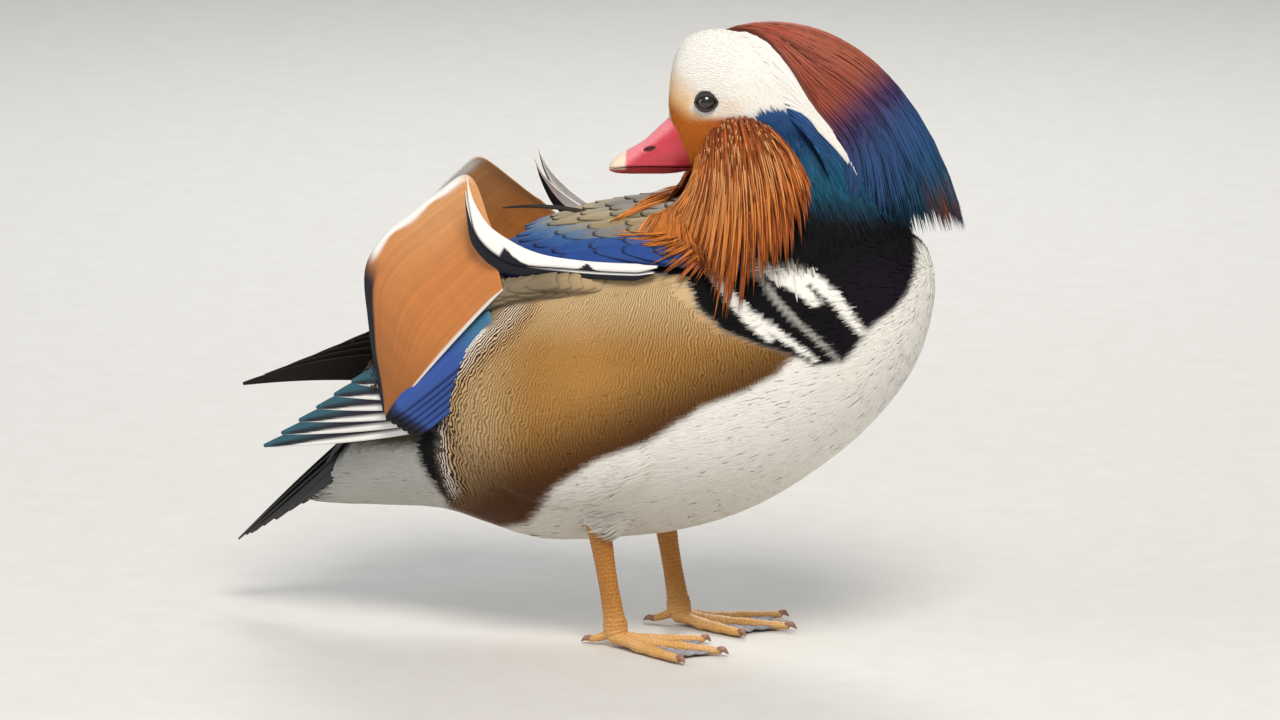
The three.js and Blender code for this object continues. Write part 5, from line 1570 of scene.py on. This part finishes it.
# Ring of the lids: an oval tube pointed towards the bill, with small creases round it.
def makeLids(side, name):
    turn = np.linspace(0, 2 * pi, 160, endpoint=False)[:, None]
    roll = np.linspace(0, 2 * pi, 20, endpoint=False)[None]
    tube = 0.62 * (1 + 0.12 * np.sin(turn * 23) * np.cos(roll - 0.6)) * (1 + 0.18 * np.sin(turn))
    rear, front = turn % (2 * pi) - pi, np.minimum(turn, 2 * pi - turn)
    corner = 0.9 * np.exp(-(rear / 0.3) ** 2) + 0.9 * np.exp(-(front / 0.25) ** 2)
    forward = pose["eyeForward"] + (4.35 + 0.45 * corner + tube * np.cos(roll)) * np.cos(turn)
    height = pose["eyeHeight"] + (3.25 + 0.3 * np.abs(np.cos(turn)) + tube * np.cos(roll)) * np.sin(turn)
    depth = pose["eyeSide"] + 3.45 + 0.95 * np.abs(np.sin(turn)) + tube * np.sin(roll)
    grid = onHead(forward, side * depth, height)
    quads = gridFaces(*grid.shape[:2], wrap=True)
    last = np.arange(20) + 159 * 20
    bridge = np.stack([last, np.roll(last, -1), np.roll(np.arange(20), -1), np.arange(20)], -1)
    made = buildMesh(name, grid, [quads, bridge], lidMaterial, np.ones((160 * 20, 1)) * paint["lid"])


for side, name in ((1, "Left"), (-1, "Right")):
    makeEye(side, "eye" + name, "eye_left" if side > 0 else "eye_right")
    makeLids(side, "lids" + name)


# Legs: tubes of scaled skin along lines, with pads at the joints, grey webs and horn claws
# Tube round a line: its radius keyed along it, flattened upwards, with raised rings this far apart.
def tubeAlong(line, radii, flatten, rows, columns, ringMm=0.0, ringHigh=0.0):
    line = alongLine(line, rows)
    t = np.linspace(0, 1, rows)
    radius = np.interp(t, np.linspace(0, 1, len(radii)), radii)
    along = unit(np.gradient(line, axis=0))
    reference = np.where(np.abs(along[:, 2:]) > 0.8, [[0.0, 1.0, 0.0]], [[0.0, 0.0, 1.0]])
    across = unit(np.cross(reference, along))
    rise = np.cross(along, across)
    passed = np.concatenate([[0], np.cumsum(np.linalg.norm(np.diff(line, axis=0), axis=1))])
    rings = 1 + ringHigh * np.abs(np.sin(pi * passed / ringMm)) if ringMm else np.ones(rows)
    turn = (np.arange(columns) * 2 * pi / columns)[None, :, None]
    wide = (radius * rings)[:, None, None]
    return line[:, None] + wide * (across[:, None] * np.cos(turn) + rise[:, None] * np.sin(turn) * flatten)


legLook = {
    "footX": {1: 9.0, -1: -2.0}, "sideways": 25.7, "toeTurns": (-26, 4, 33), "toeLengths": (42, 54, 50),
    "toeRadii": (4.1, 3.1, 2.6, 3.0, 2.4, 2.7, 2.1, 2.2, 1.6), "webReach": 0.93,
}


# Line of a toe from the ankle, level with the floor and dipping at the nail.
def toeLine(side, k, share, count=24):
    turn, length = radians(legLook["toeTurns"][k]) * side, legLook["toeLengths"][k] * share
    t = np.linspace(0, 1, count)
    reach = length * t
    height = 4.6 - 2.1 * np.minimum(3 * t * share, 1) + 0.5 * np.sin(pi * np.clip(t * 1.2, 0, 1)) * (1 - t)
    x = legLook["footX"][side] + reach * cos(turn)
    y = side * legLook["sideways"] + reach * sin(turn)
    return np.stack([x, y, height], -1)


# Grey webs mottled by two crossed sines.
def webColour(grids, s, t):
    mottle = 0.5 + 0.5 * np.sin(grids[..., 0] * 0.9) * np.sin(grids[..., 1] * 1.3)
    return blend(paint["web"], paint["webDark"], mottle)


def makeLeg(side, name, leg, foot):
    x, y = legLook["footX"][side], side * legLook["sideways"]
    shank = [(x, y, 8), (x - 1.5, y, 17), (x - 4.5, y, 34), (x - 7.5, y, 52), (x - 9, y, 61)]
    grid = tubeAlong(shank, (5.0, 4.5, 4.2, 4.3, 4.7, 5.4, 6.0), 0.8, 150, 40, 1.9, 0.05)
    points, quads, tris = closedTube(grid)
    shin = blend(paint["leg"], paint["toe"], ramp(26 - points[:, 2], 0, 26) * 0.8)
    made = buildMesh("leg" + name, points, [quads, tris], scaleMaterial, shin)
    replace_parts(made, leg)
    pieces = []
    for k in range(3):
        pieces.append(tubeAlong(toeLine(side, k, 0.93), legLook["toeRadii"], 0.85, 110, 28, 1.7, 0.07))
    heel = [(x - 2, y, 6), (x - 8, y - 0.5 * side, 3.4), (x - 12.5, y - side, 2.2)]
    pieces.append(tubeAlong(heel, (3.0, 2.2, 1.9, 1.4), 0.85, 60, 24, 1.5, 0.06))
    ankle = [(x - 0.5, y, 13), (x, y, 8), (x + 1.5, y, 3.6)]
    pieces.append(tubeAlong(ankle, (4.7, 5.4, 5.2, 4.2), 0.85, 60, 32, 1.8, 0.05))
    sets, base = [[], [], []], 0
    for grid in pieces:
        p, q, t = closedTube(grid)
        sets[0].append(p)
        sets[1].append(q + base)
        sets[2].append(t + base)
        base += len(p)
    points = np.concatenate(sets[0])
    points[:, 2] = np.maximum(points[:, 2], 0.05)
    away = np.hypot(points[:, 0] - x, points[:, 1] - y)
    knuckle = 0.5 + 0.5 * np.cos(away / 9.5)
    pale = knuckle * 0.7 * ramp(points[:, 2], 1.5, 4) * ramp(away, 9, 20)
    toes = blend(paint["toe"], paint["toePale"], pale)
    toes = blend(toes, paint["leg"], ramp(points[:, 2], 6, 12) * 0.6)
    faces = [np.concatenate(sets[1]), np.concatenate(sets[2])]
    made = buildMesh("toes" + name, points, faces, scaleMaterial, toes)
    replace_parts(made, foot)
    webs = []
    for k in range(2):
        first = toeLine(side, k, legLook["webReach"], 40)[:, None]
        second = toeLine(side, k + 1, legLook["webReach"], 40)[:, None]
        u = np.linspace(0, 1, 30)[None, :, None]
        v = np.linspace(0, 1, 40)[:, None, None]
        ankle = first[:1]
        sheet = first * (1 - u) + second * u
        pulled = ankle + (sheet - ankle) * (1 - 0.15 * (4 * u * (1 - u)) ** 0.8 * v)
        folds = 0.32 * np.sin(v * 46 + 3 * np.sin(u * 5)) * np.sin(pi * u) + 0.3 * np.sin(u * 24) * v
        flat = pulled * [1, 1, 0] + np.array([0, 0, 1]) * (2.7 - 0.7 * v + folds - 0.4 * np.sin(pi * u) * v)
        webs.append(flat)
    vanes("webs" + name, np.array(webs), 0.7, webColour, webMaterial, 0)
    claws = []
    for k in range(3):
        tip = toeLine(side, k, 1.0)[-1]
        root = toeLine(side, k, 0.9)[-1]
        claws.append([root, (root + tip) / 2 + [0, 0, 0.9], tip + [0, 0, -1.1]])
    claws.append([(x - 11, y - side, 2.6), (x - 14, y - side, 2.6), (x - 16.5, y - side, 1.1)])
    parts = [closedTube(tubeAlong(line, (1.7, 1.6, 1.1, 0.25), 0.9, 24, 16)) for line in claws]
    size = len(parts[0][0])
    points = np.concatenate([p for p, q, t in parts])
    points[:, 2] = np.maximum(points[:, 2], 0.05)
    made = buildMesh("claws" + name, points, [
        np.concatenate([q + size * i for i, (p, q, t) in enumerate(parts)]),
        np.concatenate([t + size * i for i, (p, q, t) in enumerate(parts)])], clawMaterial,
        np.ones((len(points), 1)) * paint["claw"])


makeLeg(1, "Left", "leg_left", "foot_left")
makeLeg(-1, "Right", "leg_right", "foot_right")
print("bill, eyes, lids, legs")


# A round soft lamp that faces its target.
def lamp(name, place, target, size, power, colour):
    light = bpy.data.lights.new(name, "AREA")
    light.shape = "DISK"
    light.size, light.energy, light.color = size, power, tuple(linear(colour))
    made = bpy.data.objects.new(name, light)
    bpy.context.scene.collection.objects.link(made)
    z = unit(np.asarray(place, float) - target)
    x = unit(np.cross(up, z))
    made.matrix_world = placed(x, np.cross(z, x), z, place)


# Pale matt paper: no shine, and a trace of speckle.
def floorMaterial():
    material = newMaterial("paleMattFloor")
    place = addNode(material, "ShaderNodeTexCoord")
    speck = addNode(material, "ShaderNodeTexNoise", {"Scale": 60.0, "Detail": 3.0}, {"Vector": (place, "Object")})
    tone = addNode(material, "ShaderNodeMix", {"Factor": 0.5, 6: (*linear("#d8d6d1"), 1), 7: (*linear("#cfccc6"), 1)},
                   {"Factor": (speck, "Fac")}, data_type="RGBA")
    return finishMaterial(material, (tone, 2), None, {"Roughness": 0.85, "Specular IOR Level": 0.2})


makeCamera()
floorMesh = bpy.data.meshes.new("floor")
floorMesh.from_pydata([(-6, -6, 0), (6, -6, 0), (6, 6, 0), (-6, 6, 0)], [], [(0, 1, 2, 3)])
floorMesh.materials.append(floorMaterial())
floorPiece = bpy.data.objects.new("floor", floorMesh)
bpy.context.scene.collection.objects.link(floorPiece)
lamp("keyLight", (0.75, -1.2, 1.8), (0, 0, 0.14), 0.9, 42, "#fff8ef")
lamp("fillLight", (-1.5, -1.1, 0.8), (0, 0, 0.12), 1.4, 11, "#e8f0ff")
lamp("rimLight", (-0.4, 1.4, 1.3), (0, 0, 0.15), 0.8, 16, "#ffffff")
world = bpy.data.worlds.new("softRoom")
world.use_nodes = True
world.node_tree.nodes["Background"].inputs["Color"].default_value = (*linear("#dfe4ea"), 1)
world.node_tree.nodes["Background"].inputs["Strength"].default_value = 0.45
bpy.context.scene.world = world
bpy.context.scene.view_settings.view_transform = "Standard"
